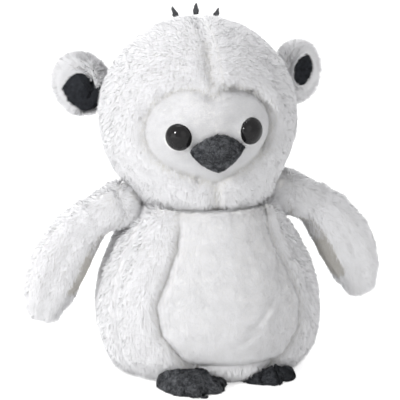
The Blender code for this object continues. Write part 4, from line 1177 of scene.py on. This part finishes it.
AMBIENT = 0.84


def studio():
    """A pale floor that glows white to the camera, and a world that is soft on the owl."""
    floor_finish = Finish("studio_floor")
    path = floor_finish.add("ShaderNodeLightPath", out=0)
    mirror = floor_finish.add("ShaderNodeLightPath", out=3)
    seen = floor_finish.add("ShaderNodeMath", {0: path, 1: mirror * 0.1}, operation="MAXIMUM")
    matt = floor_finish.add("ShaderNodeBsdfDiffuse", {"Color": colour(0.88, 0.88, 0.88)})
    glow = floor_finish.add("ShaderNodeEmission", {"Color": colour(1, 1, 1), "Strength": seen * 0.6})
    floor_finish.add_end(floor_finish.add("ShaderNodeAddShader", {0: matt, 1: glow}))
    bpy.ops.object.select_all(action="DESELECT")
    bpy.ops.mesh.primitive_circle_add(
        vertices=96, radius=6.0, fill_type="NGON", location=(0, 0, -0.0002))
    floor = bpy.context.active_object
    floor.name = "studio_floor"
    floor.data.materials.append(floor_finish.material)
    world = bpy.data.worlds.new("studio")
    scene.world = world
    world.use_nodes = True
    nodes, links = world.node_tree.nodes, world.node_tree.links
    background = nodes["Background"]
    background.inputs["Color"].default_value = colour(1.0, 1.0, 1.0)
    light_path = nodes.new("ShaderNodeLightPath")
    seen_by = nodes.new("ShaderNodeMath")
    seen_by.operation = "MAXIMUM"
    links.new(light_path.outputs["Is Camera Ray"], seen_by.inputs[0])
    links.new(light_path.outputs["Is Transmission Ray"], seen_by.inputs[1])
    level = nodes.new("ShaderNodeMapRange")
    level.inputs["To Min"].default_value = AMBIENT
    level.inputs["To Max"].default_value = 1.0
    links.new(seen_by.outputs[0], level.inputs["Value"])
    links.new(level.outputs[0], background.inputs["Strength"])


def lamp(name, place, size, power):
    light = bpy.data.lights.new(name, "AREA")
    light.shape = "DISK"
    light.size = size
    light.energy = power
    holder = bpy.data.objects.new(name, light)
    scene.collection.objects.link(holder)
    holder.location = place
    holder.rotation_euler = (Vector((0, 0, 0.12)) - Vector(place)).to_track_quat("-Z", "Y").to_euler()


studio()
lamp("key_lamp", (-1.55, -0.9, 0.85), 0.32, 22.0)
lamp("front_fill", (0.1, -1.7, 0.7), 1.5, 3.6)
lamp("top_lamp", (-0.1, 0.4, 1.7), 1.0, 6.5)
lamp("back_fill", (0.9, 1.6, 0.9), 1.2, 7.0)
lamp("low_fill", (-1.3, -0.5, 0.12), 0.8, 2.3)

AZIMUTH, HEIGHT_ANGLE, DISTANCE = math.radians(-15.9), math.radians(10.9), 1.41
PIXELS_A_METRE = 1535.0
level = math.cos(HEIGHT_ANGLE)
toward = Vector((math.sin(AZIMUTH) * level, -math.cos(AZIMUTH) * level, math.sin(HEIGHT_ANGLE)))
camera = bpy.data.objects.new("camera", bpy.data.cameras.new("camera"))
scene.collection.objects.link(camera)
camera.rotation_euler = (-toward).to_track_quat("-Z", "Y").to_euler()
turned = camera.rotation_euler.to_matrix()
aim = Vector((0, 0, 0.12)) - turned @ Vector((6.5, 10.4, 0.0)) / PIXELS_A_METRE
camera.location = aim + toward * DISTANCE
camera.data.sensor_width = 36.0
camera.data.lens = 36.0 * DISTANCE * PIXELS_A_METRE / 400.0
camera.data.clip_end = 50.0
scene.camera = camera
scene.view_settings.view_transform = "Standard"
